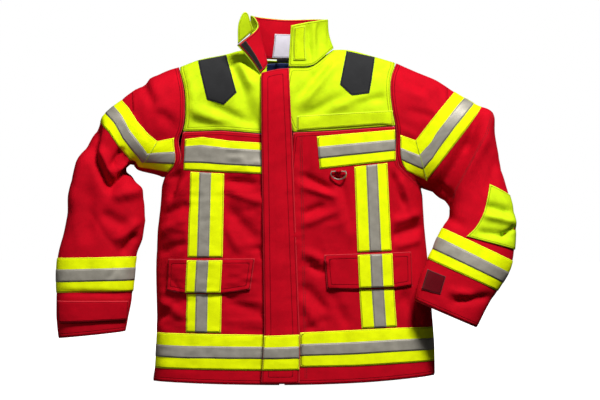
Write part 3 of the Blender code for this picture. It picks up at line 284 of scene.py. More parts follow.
FRONT_FOLDS = [
    # wearer's right, by the armhole, below it, by the pocket
    ((-0.242, -0.2024), (-0.2596, -0.3124), 0.010, -0.0060),
    ((-0.2244, -0.264), (-0.2728, -0.3432), 0.010, 0.0045),
    ((-0.2772, -0.3432), (-0.2244, -0.3234), 0.010, -0.0050),
    ((-0.286, -0.3828), (-0.2288, -0.3564), 0.011, 0.0040),
    ((-0.2904, -0.4268), (-0.2288, -0.4092), 0.010, -0.0045),
    ((-0.1364, -0.2904), (-0.0616, -0.319), 0.009, 0.0045),
    ((-0.1408, -0.2684), (-0.0704, -0.2816), 0.010, -0.0050),
    ((-0.132, -0.3344), (-0.0748, -0.4004), 0.012, -0.0040),
    ((-0.1408, -0.3696), (-0.11, -0.4224), 0.010, 0.0035),
    ((-0.0704, -0.4136), (-0.0616, -0.44), 0.008, -0.0045),
    ((-0.1408, -0.5324), (-0.0616, -0.5588), 0.012, -0.0035),
    ((-0.286, -0.5324), (-0.2332, -0.5676), 0.012, 0.0040),
    ((-0.2904, -0.5764), (-0.242, -0.5324), 0.010, -0.0035),
    # wearer's left, out from the flap's seam
    ((0.0286, -0.2596), (0.088, -0.2904), 0.009, -0.0050),
    ((0.0264, -0.2816), (0.0968, -0.3036), 0.008, 0.0045),
    ((0.033, -0.3432), (0.0704, -0.3256), 0.008, -0.0050),
    ((0.0308, -0.3652), (0.0968, -0.3388), 0.009, 0.0040),
    ((0.0308, -0.4488), (0.0704, -0.4708), 0.009, -0.0055),
    ((0.0352, -0.4268), (0.0792, -0.4488), 0.008, 0.0045),
    ((0.0308, -0.5016), (0.0792, -0.5544), 0.010, -0.0050),
    ((0.0286, -0.5324), (0.0616, -0.5896), 0.009, 0.0045),
    ((0.0352, -0.5984), (0.0792, -0.572), 0.010, -0.0030),
    ((0.0968, -0.3036), (0.1408, -0.4004), 0.016, 0.0035),
    ((0.11, -0.2684), (0.132, -0.3784), 0.010, -0.0035),
    # wearer's left, towards the side
    ((0.2244, -0.2596), (0.2508, -0.3234), 0.009, -0.0055),
    ((0.242, -0.2684), (0.2684, -0.3432), 0.009, 0.0045),
    ((0.2266, -0.3608), (0.286, -0.3432), 0.010, 0.0045),
    ((0.2244, -0.3916), (0.2948, -0.3696), 0.009, -0.0045),
    ((0.2332, -0.4136), (0.286, -0.4004), 0.009, 0.0035),
    ((0.088, -0.5148), (0.121, -0.5808), 0.012, -0.0035),
    ((0.2508, -0.5192), (0.2816, -0.5764), 0.014, -0.0035),
]


def folds(table, x, z):
    return FOLD_GAIN * sum(fold(x, z, *one) for one in table)


def creases(x, z, seed):
    """Thin soft ridges, as stiff cloth has where it was folded."""
    bent = x + 0.02 * ripple(x / 0.09, z / 0.09, seed + 1)
    ridge = 1 - np.abs(ripple(bent / 0.06 + z / 0.11, z / 0.10 - x / 0.12, seed))
    return 0.0036 * ridge**4 * ripple(x / 0.10, z / 0.13, seed + 2)


def armhole_gap(x, z):
    """How far inside the two armholes, and so 0 at the sleeves' seams."""
    right = np.where(z > RIGHT_PIT, x - RIGHT_ARMHOLE(z), x - RIGHT_SIDE(z) + 0.004)
    left = np.where(z > LEFT_PIT, LEFT_ARMHOLE(z) - x, LEFT_SIDE(z) - x + 0.004)
    return np.minimum(right, left)


def torso_relief(x, z, front):
    """How far the cloth stands off the smooth form."""
    low = ramp(-z, 0.16, 0.30)
    waves = 0.0026 * ripple(x / 0.075, z / 0.21, 3 if front else 11) * low
    waves = waves + 0.0018 * ripple((x + z * 0.5) / 0.05, (z - x * 0.3) / 0.09, 5 if front else 13)
    waves = waves + creases(x, z, 37 if front else 43) * ramp(-z, 0.16, 0.20)
    if not front:
        spread = fold(x, z, (-0.17, -0.29), (-0.06, -0.66), 0.030, 0.006)
        spread = spread + fold(x, z, (0.19, -0.30), (0.08, -0.67), 0.032, 0.006)
        spread = spread + fold(x, z, (-0.02, -0.27), (0.01, -0.62), 0.028, -0.005)
        relief = waves + spread
    else:
        pucker = np.exp(-np.maximum(x - seam_line(z), 0) / 0.014) * ramp(-z, 0.165, 0.20)
        pucker = pucker * 0.0016 * ripple(x / 0.03, z / 0.0105, 7)
        inside = ramp(-z, 0.14, 0.17)
        relief = waves + pucker + folds(YOKE_FOLDS, x, z) * (1 - inside)
        relief = relief + folds(FRONT_FOLDS, x, z) * ramp(-z, 0.15, 0.19)
    still = ramp(-z, -0.010, 0.030) * ramp(armhole_gap(x, z), 0.0, 0.025)
    stiff = ramp(-z, 0.590, 0.605)  # tape holds the cloth under it flatter
    if front:
        from_band = np.minimum(np.abs(x + 0.181), np.abs(x - 0.184))
        stiff = np.maximum(stiff, ramp(-from_band, -0.048, -0.036) * ramp(-z, 0.16, 0.19))
    return relief * still * (1 - 0.6 * stiff)


def seam_line(z):
    """The stitched seam beside the storm flap."""
    return 0.0110 - 0.0210 * (z + 0.17)


def torso(step, b, offset=0.0):
    """A point of the folded shell, or offset from it."""
    point = torso_surface(step, b)
    x, z = point[..., 0], point[..., 2]
    relief = np.where(b >= 0, torso_relief(x, z, True), torso_relief(x, z, False))
    return bare_torso(step, b, offset + relief)


def spot(x, z, front=True):
    """A point of the front or the back, as angles on the torso."""
    x, z = np.asarray(x, float), np.asarray(z, float)
    return np.stack([section(x, z), drop(x, z, front)], axis=-1)


def on_torso(x, z, offset=0.0, front=True):
    place = spot(x, z, front)
    return torso(place[..., 0], place[..., 1], offset)


def across(curve, front=True):
    """An edge given as x and z, as angles on the torso."""

    def at(t):
        place = curve(t)
        return spot(place[..., 0], place[..., 1], front)

    return at


def level(curve, front=True):
    """The same for an edge that runs across, taken at an even rate round the section."""
    return straight(*across(curve, front)(np.linspace(0, 1, 49)))


def on_grid(bottom, top, left, right, still=False):
    """A patch of the torso between four edges given as angles."""
    inside = coons(bottom, top, left, right)
    surface = bare_torso if still else torso

    def at(u, v, offset):
        place = inside(u, v)
        return surface(place[..., 0], place[..., 1], offset)

    return at


def torso_patch(bottom, top, left, right, front=True, still=False):
    """A patch of the torso between four edges given as x and z."""
    edges = level(bottom, front), level(top, front), across(left, front), across(right, front)
    return on_grid(*edges, still=still)


def between(bottom, top, front=True):
    """A patch between a lower and an upper run of points, with straight sides."""
    left, right = straight(bottom[0], top[0]), straight(bottom[-1], top[-1])
    return torso_patch(straight(*bottom), straight(*top), left, right, front)


def zip_x(z):
    """The zip's line, which leans a little towards the wearer's left going down."""
    return -0.033 - 0.0226 * (z + 0.03)


def opening(z):
    """Half the front opening at height z: closed below the slider, open towards the neck."""
    return 0.0056 + 0.0229 * np.clip((z - ZIP_TOP_Z) / 0.137, 0, 1) ** 2


def right_edge(z):
    return zip_x(z) - opening(z)


def left_edge(z):
    return zip_x(z) + opening(z)


def vertical(x_at, low, high, count=9):
    """An edge that runs up from low to high, along x_at(z)."""
    return straight(*[(float(x_at(z)), z) for z in np.linspace(low, high, count)])


# Neck and collar

NECK_SIDES = (-0.0925, 0.0945)  # where the seam crosses the shoulder line
NECK_PATH = through(
    *[spot(*p) for p in [(-0.0655, -0.037), (-0.0506, -0.0176), (-0.0616, 0.0044), (-0.083, 0.0150)]],
    spot(NECK_SIDES[0], 0.1),
    *[spot(*p, front=False) for p in [(-0.080, 0.006), (-0.010, 0.000), (0.070, 0.007)]],
    spot(NECK_SIDES[1], 0.1),
    *[spot(*p) for p in [(0.0850, 0.0110), (0.0594, -0.0121), (0.0396, -0.0207), (-0.003, -0.022)]],
)
NECK_MARKS = (4 / 12, 8 / 12)
COLLAR_LIFT = 0.0030
COLLAR_TOP = through(
    (-0.1155, -0.134, 0.0264),
    (-0.0792, -0.113, 0.0572),
    (-0.0704, -0.090, 0.0748),
    (-0.0790, -0.066, 0.0930),
    (-0.0860, -0.040, 0.0975),
    (-0.0680, -0.002, 0.0965),
    (-0.0100, 0.014, 0.0920),
    (0.0560, -0.002, 0.0920),
    (0.0800, -0.040, 0.0885),
    (0.0790, -0.070, 0.0870),
    (0.0600, -0.099, 0.0825),
    (0.0360, -0.113, 0.0777),
    (0.0020, -0.118, 0.0704),
)


def collar_surface(p, h):
    """p runs round the neck from the wearer's right front end, h up from the seam."""
    seam = NECK_PATH(p)
    base = bare_torso(seam[..., 0], seam[..., 1], COLLAR_LIFT)
    top = COLLAR_TOP(p)
    inward = np.array([-0.010, -0.060, 0]) - base
    inward[..., 2] = 0
    inward /= np.maximum(np.linalg.norm(inward, axis=-1), 1e-9)[..., None]
    height = h[..., None]
    waist = 0.004 * np.sin(math.pi * height) * inward
    return base + height * (top - base) + waist


def collar_relief(p, h):
    crease = fold(p, h, (0.90, 0.95), (0.885, 0.15), 0.016, -0.0050)
    crease = crease + fold(p, h, (0.86, 0.90), (0.845, 0.25), 0.018, 0.0035)
    crease = crease + fold(p, h, (0.82, 0.9), (0.80, 0.3), 0.020, -0.0030)
    return crease + 0.0010 * ripple(p / 0.045, h / 0.5, 17) * np.sin(math.pi * h)


bare_collar = with_normal(collar_surface, outward=-1)


def collar(p, h, offset=0.0):
    return bare_collar(p, h, offset + collar_relief(p, h))


def collar_patch(p_low, p_high, h_low, h_high):
    return lambda u, v, offset: collar(
        p_low + (p_high - p_low) * u, h_low + (h_high - h_low) * v, offset
    )


# Sleeves. Each station is a line across the flat sleeve: its outer and its inner point, x and z.


class Sleeve:
    def __init__(self, armhole, tip, pit, stations, depths, middles, relief):
        keys = np.linspace(0, 1, len(stations))
        self.armhole, self.tip, self.pit = armhole, tip, pit
        self.outer = smooth(keys, [s[0] for s in stations])
        self.inner = smooth(keys, [s[1] for s in stations])
        self.depth = smooth(np.linspace(0, 1, len(depths)), depths)
        self.middle = smooth(np.linspace(0, 1, len(middles)), middles)
        self.relief = relief
        self.side = 1 if tip == LEFT_TIP else -1
        self.bare = with_normal(self.surface, outward=-self.side)

    def surface(self, s, a):
        """s runs down the sleeve, a goes round from its outer line over the front."""
        size = (np.abs(np.cos(a)) ** SLEEVE_POWER + np.abs(np.sin(a)) ** SLEEVE_POWER) ** (1 / SLEEVE_POWER)
        over, out = np.cos(a) / size, np.sin(a) / size
        outer, inner = self.outer(s), self.inner(s)
        flat = (outer + inner) / 2 + (outer - inner) / 2 * over[..., None]
        y = self.middle(s) - self.depth(s) * out
        point = np.stack([flat[..., 0], y, flat[..., 1]], axis=-1)
        hold = (np.maximum(1 - s / SLEEVE_SPREAD, 0) ** 2)[..., None]
        z = (self.tip + self.pit) / 2 + (self.tip - self.pit) / 2 * over
        x = self.armhole(z)
        b = np.where(out >= 0, drop(x, z), drop(x, z, False))
        return hold * torso_surface(section(x, z), b) + (1 - hold) * point

    def at(self, s, a, offset=0.0):
        point = self.surface(s, a)
        lift = self.relief(point[..., 0], point[..., 2], np.sin(a) >= 0) * ramp(s, 0.0, 0.06)
        return self.bare(s, a, offset + lift)

    def station(self, x, z):
        """The station through a point of the flat sleeve, and how far across it, -1 to 1."""
        low, high = np.zeros_like(x), np.ones_like(x)
        for _ in range(26):
            mid = (low + high) / 2
            outer = self.outer(mid)
            line = self.inner(mid) - outer
            ahead = (x - outer[..., 0]) * line[..., 1] - (z - outer[..., 1]) * line[..., 0]
            before = self.side * ahead < 0
            low, high = np.where(before, mid, low), np.where(before, high, mid)
        outer, inner = self.outer(low), self.inner(low)
        half = (outer - inner) / 2
        place = np.stack([x, z], axis=-1) - (outer + inner) / 2
        over = (place * half).sum(-1) / (half * half).sum(-1)
        return low, np.clip(over, -1, 1)

    def place(self, curve, front=True):
        """A run of x and z on the flat sleeve, as stations and angles."""

        def at(t):
            wanted = curve(t)
            point = wanted
            for _ in range(12):  # the head of the sleeve is drawn to the armhole, so aim again
                s, over = self.station(point[..., 0], point[..., 1])
                a = np.arctan2((1 - np.abs(over) ** SLEEVE_POWER) ** (1 / SLEEVE_POWER), over)
                a = a if front else 2 * math.pi - a
                point = point + 0.5 * (wanted - self.surface(s, a)[..., [0, 2]])
            return np.stack([s, a], axis=-1)

        return at


RIGHT_SLEEVE_FOLDS = [
    ((-0.4246, -0.1408), (-0.44, -0.2068), 0.010, -0.0100),
    ((-0.4356, -0.2024), (-0.396, -0.286), 0.010, -0.0110),
    ((-0.3916, -0.286), (-0.3454, -0.2376), 0.009, -0.0100),
    ((-0.418, -0.2024), (-0.3916, -0.2596), 0.011, 0.0080),
    ((-0.3916, -0.2376), (-0.3696, -0.2024), 0.007, -0.0060),
    ((-0.374, -0.2508), (-0.3564, -0.2244), 0.006, 0.0060),
    ((-0.3828, -0.3036), (-0.33, -0.2904), 0.014, 0.0060),
    ((-0.4576, -0.2156), (-0.4796, -0.3212), 0.014, 0.0050),
    ((-0.44, -0.2904), (-0.4444, -0.3916), 0.020, -0.0050),
    ((-0.3388, -0.3916), (-0.3652, -0.4268), 0.009, -0.0060),
    ((-0.3344, -0.3608), (-0.3784, -0.4004), 0.010, 0.0045),
    ((-0.4092, -0.3432), (-0.3608, -0.3696), 0.014, -0.0045),
    ((-0.33, -0.0484), (-0.2992, -0.1012), 0.010, -0.0040),
    ((-0.3036, -0.0484), (-0.2772, -0.1188), 0.012, 0.0040),
    ((-0.286, -0.1188), (-0.2508, -0.1584), 0.010, -0.0035),
    ((-0.4928, -0.5148), (-0.3564, -0.5192), 0.006, -0.0030),
]
LEFT_SLEEVE_FOLDS = [
    ((0.4378, -0.1188), (0.4224, -0.1936), 0.016, 0.0060),
    ((0.4224, -0.1936), (0.3608, -0.3124), 0.014, 0.0065),
    ((0.396, -0.1804), (0.33, -0.286), 0.014, -0.0070),
    ((0.308, -0.286), (0.3564, -0.3036), 0.010, -0.0060),
    ((0.2464, -0.0396), (0.2948, -0.0748), 0.012, -0.0045),
    ((0.264, -0.0836), (0.3212, -0.066), 0.012, 0.0040),
    ((0.2508, -0.1188), (0.308, -0.1276), 0.011, -0.0040),
    ((0.2376, -0.1496), (0.2684, -0.1716), 0.009, 0.0035),
    ((0.4092, -0.1364), (0.3872, -0.2024), 0.010, -0.0040),
    ((0.4532, -0.2244), (0.4312, -0.2904), 0.012, -0.0030),
    ((0.33, -0.3388), (0.3784, -0.3696), 0.012, -0.0035),
    ((0.4312, -0.3256), (0.4796, -0.3388), 0.009, -0.0055),
    ((0.4268, -0.3476), (0.484, -0.3608), 0.008, 0.0050),
    ((0.4136, -0.3828), (0.4796, -0.3916), 0.009, -0.0045),
    ((0.462, -0.3916), (0.4884, -0.374), 0.006, -0.0040),
    ((0.3564, -0.5324), (0.4312, -0.5236), 0.009, -0.0050),
    ((0.3476, -0.5104), (0.396, -0.5192), 0.008, 0.0040),
]


def sleeve_relief(table, wave_seed, crease_seed):
    def relief(x, z, front):
        soft = 0.0022 * ripple(x / 0.055, z / 0.06, wave_seed) + 1.3 * creases(x, z, crease_seed)
        return soft + folds(table, x, z) * np.where(front, 1.0, 0.45)

    return relief


RIGHT_SLEEVE = Sleeve(
    RIGHT_ARMHOLE,
    RIGHT_TIP,
    RIGHT_PIT,
    [
        ((-0.2464, -0.0176), (-0.2829, -0.262)),
        ((-0.2860, -0.0330), (-0.3080, -0.2560)),
        ((-0.3280, -0.0600), (-0.3300, -0.2510)),
        ((-0.3740, -0.0900), (-0.3490, -0.2455)),
        ((-0.4240, -0.1380), (-0.3530, -0.2440)),
        ((-0.4550, -0.2020), (-0.3460, -0.2630)),
        ((-0.4730, -0.2510), (-0.3240, -0.3070)),
        ((-0.4860, -0.3120), (-0.3200, -0.3500)),
        ((-0.4990, -0.3780), (-0.3250, -0.3940)),
        ((-0.5130, -0.4360), (-0.3390, -0.4360)),
        ((-0.5150, -0.5170), (-0.3470, -0.5140)),
        ((-0.5150, -0.5720), (-0.3540, -0.5650)),
        ((-0.5110, -0.6170), (-0.3610, -0.6020)),
    ],
    [0.072, 0.072, 0.062, 0.054, 0.052, 0.050, 0.046, 0.040, 0.032],
    [MID_Y, -0.050, -0.054, -0.060, -0.066, -0.072, -0.076, -0.078, -0.080],
    sleeve_relief(RIGHT_SLEEVE_FOLDS, 23, 53),
)
LEFT_SLEEVE = Sleeve(
    LEFT_ARMHOLE,
    LEFT_TIP,
    LEFT_PIT,
    [
        ((0.2354, -0.0088), (0.2926, -0.2860)),
        ((0.2860, -0.0300), (0.3050, -0.2940)),
        ((0.3230, -0.0484), (0.3190, -0.3030)),
        ((0.3630, -0.0740), (0.3310, -0.3100)),
        ((0.4070, -0.1010), (0.3420, -0.3150)),
        ((0.4380, -0.1200), (0.3490, -0.3210)),
        ((0.4490, -0.1650), (0.3520, -0.3280)),
        ((0.4600, -0.2140), (0.3500, -0.3370)),
        ((0.4740, -0.2760), (0.3470, -0.3470)),
        ((0.4920, -0.3520), (0.3420, -0.3590)),
        ((0.4890, -0.4440), (0.3335, -0.3733)),
        ((0.4530, -0.5104), (0.3014, -0.4400)),
        ((0.4290, -0.5480), (0.2850, -0.4790)),
        ((0.4060, -0.5900), (0.2706, -0.5313)),
    ],
    [0.072, 0.073, 0.064, 0.056, 0.052, 0.050, 0.046, 0.040, 0.032],
    [MID_Y, -0.052, -0.060, -0.070, -0.084, -0.102, -0.122, -0.138, -0.150],
    sleeve_relief(LEFT_SLEEVE_FOLDS, 29, 61),
)


ALONG_EDGE = np.linspace(0, 1, 81)


def table(keys, values):
    """A run through values at the given keys, straight between them."""
    columns = np.transpose(values)
    return lambda t: np.stack([np.interp(t, keys, column) for column in columns], axis=-1)


def wrap_patch(sleeve, s_low, s_high):
    """A stretch right round the sleeve. Either station may be a function of the angle."""

    def station_of(limit, a):
        return limit(a) if callable(limit) else limit

    def at(u, v, offset):
        a = 2 * math.pi * u
        s = station_of(s_low, a) * v + station_of(s_high, a) * (1 - v)
        return sleeve.at(s, a, offset)

    return at


def round_band(sleeve, top, bottom):
    """A band right round the sleeve. Top and bottom: its outer and its inner point, x and z."""

    def station(pair):
        outer, inner = [float(sleeve.station(*map(np.array, point))[0]) for point in pair]
        return lambda a: (outer + inner) / 2 + (outer - inner) / 2 * np.cos(a)

    return wrap_patch(sleeve, station(top), station(bottom))


def folded_band(sleeve, top, bottom):
    """A piece over the sleeve's outer line, the same in front and behind. Top and bottom run from
    the outer line inwards."""

    def edge(points):
        keys = np.linspace(0, 1, len(points))
        places = sleeve.place(table(keys, points))(ALONG_EDGE)
        places[0, 1] = 0.0
        return table(ALONG_EDGE, places)

    above, below = edge(top), edge(bottom)

    def at(u, v, offset):
        t = np.abs(2 * u - 1)
        place = v[..., None] * above(t) + (1 - v)[..., None] * below(t)
        a = np.where(u > 0.5, place[..., 1], -place[..., 1])
        return sleeve.at(place[..., 0], a, offset)

    return at


def side_patch(sleeve, corners, front=True):
    """A four-cornered patch on one side of the sleeve: low left, low right, top right, top left."""
    low_left, low_right, top_right, top_left = corners
    edges = [
        table(ALONG_EDGE, sleeve.place(straight(*pair), front)(ALONG_EDGE))
        for pair in (
            (low_left, low_right),
            (top_left, top_right),
            (low_left, top_left),
            (low_right, top_right),
        )
    ]
    inside = coons(*edges)

    def at(u, v, offset):
        place = inside(u, v)
        return sleeve.at(place[..., 0], place[..., 1], offset)

    return at


# Materials

RED, RED_DARK = (0.50, 0.0006, 0.010), (0.20, 0.0004, 0.005)
LIME, LIME_DARK = (0.56, 0.76, 0.006), (0.36, 0.46, 0.003)
TAPE, TAPE_DARK = (0.86, 0.98, 0.0), (0.48, 0.55, 0.0)
FINISHES = {
    # slot: colour, thread, roughness, sheen, thread pitch of the weave in metres, weave depth
    "shell_red": (RED, RED_DARK, 0.80, 0.0, 0.0011, 0.10),
    "yoke_yellow": (LIME, LIME_DARK, 0.78, 0.0, 0.0011, 0.10),
    "reflective_tape": (TAPE, TAPE_DARK, 0.70, 0.0, 0.0009, 0.07),
    "abrasion_grey": ((0.024, 0.024, 0.025), (0.008, 0.008, 0.008), 0.85, 0.05, 0.0016, 0.20),
    "loop_tape_yellow": ((0.72, 0.94, 0.004), LIME_DARK, 0.95, 0.1, 0.0012, 0.45),
    "loop_tape_red": ((0.13, 0.001, 0.006), (0.05, 0.0, 0.002), 0.95, 0.1, 0.0012, 0.45),
    "liner_navy": ((0.010, 0.022, 0.105), (0.004, 0.009, 0.05), 0.62, 0.25, 0.0009, 0.08),
    "barrier_black": ((0.009, 0.009, 0.010), (0.003, 0.003, 0.003), 0.55, 0.20, 0.0010, 0.08),
    "label_white": ((0.72, 0.70, 0.78), (0.40, 0.40, 0.46), 0.55, 0.10, 0.0006, 0.05),
    "zip_black": ((0.010, 0.008, 0.007), (0.003, 0.003, 0.003), 0.70, 0.20, 0.0014, 0.20),
}
MADE = {}


def shader(name, roughness, metallic=0.0, sheen=0.0):
    """A new material, and a function that adds a node to it with values or links as inputs."""
    made = bpy.data.materials.new(name)
    made.use_nodes = True
    tree = made.node_tree
    main = tree.nodes["Principled BSDF"]
    main.inputs["Roughness"].default_value = roughness
    main.inputs["Metallic"].default_value = metallic
    main.inputs["Sheen Weight"].default_value = sheen
    main.inputs["Sheen Roughness"].default_value = 0.45
    main.inputs["Specular IOR Level"].default_value = 0.08

    def add(kind, inputs, **settings):
        node = tree.nodes.new("ShaderNode" + kind)
        for key, value in settings.items():
            setattr(node, key, value)
        for key, value in inputs.items():
            if isinstance(value, bpy.types.NodeSocket):
                tree.links.new(value, node.inputs[key])
            else:
                node.inputs[key].default_value = value
        return node

    def maths(operation, *values):
        return add("Math", dict(enumerate(values)), operation=operation).outputs[0]

    def feed(key, value):
        tree.links.new(value, main.inputs[key])

    return made, add, maths, feed


def seam_lines(add, maths, gaps):
    """Where the rows of stitches run, 0 to 1, and where their dashes show."""
    gap = add("Attribute", {}, attribute_name="edge_gap").outputs["Fac"]
    run = add("Attribute", {}, attribute_name="edge_run").outputs["Fac"]
    line = 0.0
    for at in gaps:
        away = maths("ABSOLUTE", maths("SUBTRACT", gap, at))
        fade = {0: away, 1: 0.0, 2: 0.0013, 3: 1.0, 4: 0.0}
        near = add("MapRange", fade, interpolation_type="SMOOTHSTEP")
        line = maths("MAXIMUM", line, near.outputs[0])
    dash = maths("GREATER_THAN", maths("SINE", maths("MULTIPLY", run, 2 * math.pi / 0.0036)), -0.55)
    return gap, line, maths("MULTIPLY", line, dash)


def fabric(slot, gaps=(0.0035, 0.0090), suffix=""):
    """Woven cloth: twill bump, uneven dye, rows of stitches sunk along the edges with painted shade
    darkening their grooves, worn edges.
    """
    if slot + suffix in MADE:
        return MADE[slot + suffix]
    colour, thread, roughness, sheen, pitch, depth = FINISHES[slot]
    made, add, maths, feed = shader(slot + suffix, roughness, sheen=sheen)
    place = add("UVMap", {}).outputs[0]
    gap, line, dashes = seam_lines(add, maths, gaps)
    turned = add("Mapping", {"Vector": place, "Rotation": (0, 0, 0.9), "Scale": (1 / pitch,) * 3})
    twill = add("TexWave", {"Vector": turned.outputs[0], "Scale": 0.30, "Distortion": 1.2, "Detail": 1.0})
    weft = add("TexWave", {"Vector": place, "Scale": 0.16 / pitch, "Distortion": 0.5}, bands_direction="Y")
    fuzz = add("TexNoise", {"Vector": place, "Scale": 0.9 / pitch, "Detail": 3.0})
    twilled = maths("MULTIPLY", twill.outputs["Fac"], 0.5)
    weave = maths("ADD", twilled, maths("MULTIPLY", weft.outputs["Fac"], 0.3))
    weave = maths("ADD", weave, maths("MULTIPLY", fuzz.outputs["Fac"], 0.5))
    height = maths("MULTIPLY", weave, 0.0025 * depth)
    height = maths("SUBTRACT", height, maths("MULTIPLY", line, 0.0011))
    height = maths("ADD", height, maths("MULTIPLY", dashes, 0.0006))
    patchy = add("TexNoise", {"Vector": place, "Scale": 26.0, "Detail": 4.0, "Roughness": 0.6})
    height = maths("ADD", height, maths("MULTIPLY", patchy.outputs["Fac"], 0.0012))
    bump = add("Bump", {"Height": height, "Strength": 0.8, "Distance": 1.0})
    feed("Normal", bump.outputs[0])
    tone = add("MapRange", {0: patchy.outputs["Fac"], 1: 0.3, 2: 0.7, 3: 0.86, 4: 1.08}).outputs[0]
    grain = add("MapRange", {0: weave, 1: 0.25, 2: 1.0, 3: 0.88, 4: 1.08}).outputs[0]
    # painted shade: the cloth colour is darkened along each sunk row of stitches, between the thread dashes
    # as well as under them
    painted_groove_shade = maths("SUBTRACT", 1.0, maths("MULTIPLY", line, 0.28))
    factor = maths("MULTIPLY", maths("MULTIPLY", tone, grain), painted_groove_shade)
    worn = add("MapRange", {0: gap, 1: 0.0, 2: 0.002, 3: 0.16, 4: 0.0}).outputs[0]
    flat = add("Mix", {"Factor": dashes, "A": (*colour, 1), "B": (*thread, 1)}, data_type="RGBA")
    edge = tuple(0.75 * c + 0.25 for c in colour)
    flat = add("Mix", {"Factor": worn, "A": flat.outputs["Result"], "B": (*edge, 1)}, data_type="RGBA")
    level = add("VectorMath", {0: flat.outputs["Result"], "Scale": factor}, operation="SCALE")
    feed("Base Color", level.outputs[0])
    rough = add("MapRange", {0: weave, 3: roughness - 0.08, 4: roughness + 0.12}).outputs[0]
    feed("Roughness", rough)
    MADE[slot + suffix] = made
    return made


def silver():
    """Retroreflective stripe: glass beads on a grey film, faintly creased."""
    if "silver" in MADE:
        return MADE["silver"]
    made, add, maths, feed = shader("reflective_silver", 0.50, metallic=0.30)
    place = add("UVMap", {}).outputs[0]
    gap, line, dashes = seam_lines(add, maths, (0.0018,))
    beads = add("TexVoronoi", {"Vector": place, "Scale": 1500.0})
    cloud = add("TexNoise", {"Vector": place, "Scale": 40.0, "Detail": 5.0})
    creases = add("TexNoise", {"Vector": place, "Scale": 160.0, "Detail": 2.0, "Distortion": 1.5})
    height = maths("MULTIPLY", beads.outputs["Distance"], 0.00008)
    height = maths("ADD", height, maths("MULTIPLY", creases.outputs["Fac"], 0.0003))
    height = maths("SUBTRACT", height, maths("MULTIPLY", line, 0.0006))
    feed("Normal", add("Bump", {"Height": height, "Strength": 0.7, "Distance": 1.0}).outputs[0])
    tone = add("MapRange", {0: cloud.outputs["Fac"], 1: 0.3, 2: 0.7, 3: 0.80, 4: 1.10}).outputs[0]
    tone = maths("MULTIPLY", tone, maths("SUBTRACT", 1.0, maths("MULTIPLY", dashes, 0.35)))
    grey = add("VectorMath", {0: (0.36, 0.335, 0.28), "Scale": tone}, operation="SCALE")
    feed("Base Color", grey.outputs[0])
    rough = add("MapRange", {0: cloud.outputs["Fac"], 3: 0.42, 4: 0.60}).outputs[0]
    feed("Roughness", rough)
    MADE["silver"] = made
    return made


def metal(name, colour, roughness):
    """Cast and tumbled metal with fine scratches."""
    made, add, maths, feed = shader(name, roughness, metallic=1.0)
    place = add("TexCoord", {}).outputs["Object"]
    grain = add("TexNoise", {"Vector": place, "Scale": 900.0, "Detail": 6.0})
    tone = add("MapRange", {0: grain.outputs["Fac"], 3: 0.75, 4: 1.1}).outputs[0]
    feed("Base Color", add("VectorMath", {0: colour, "Scale": tone}, operation="SCALE").outputs[0])
    rough = add("MapRange", {0: grain.outputs["Fac"], 3: roughness - 0.1, 4: roughness + 0.15})
    feed("Roughness", rough.outputs[0])
    height = maths("MULTIPLY", grain.outputs["Fac"], 0.00006)
    feed("Normal", add("Bump", {"Height": height, "Strength": 0.6, "Distance": 1.0}).outputs[0])
    return made


# Pieces

ARMS = {
    "right": ("right_arm", (-0.284, -0.048, -0.14), (-0.338, -0.048, -0.14)),
    "left": ("left_arm", (0.291, -0.048, -0.147), (0.322, -0.048, -0.147)),
}


def place_piece(obj, body):
    """body is a body's name, or the side whose shoulder the piece lies over; such a piece is left without a
    parent.
    """
    if body in ARMS:
        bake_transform(obj)
    else:
        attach(obj, body)


LEAST_FLAT = 0.0101  # the least length a piece's size is taken as


def lengths(points, axis):
    """Running lengths along an axis of a grid of points."""
    steps = np.linalg.norm(np.diff(points, axis=axis), axis=-1)
    return np.concatenate([np.zeros_like(np.take(steps, [0], axis)), np.cumsum(steps, axis)], axis)


def linked(name, data):
    obj = bpy.data.objects.new(name, data)
    bpy.context.scene.collection.objects.link(obj)
    return obj


def mesh_object(name, points, faces, finish, smooth_shading=True):
    mesh = bpy.data.meshes.new(name)
    mesh.from_pydata(points, [], faces)
    if smooth_shading:
        mesh.shade_smooth()
    mesh.materials.append(finish)
    return linked(name, mesh)


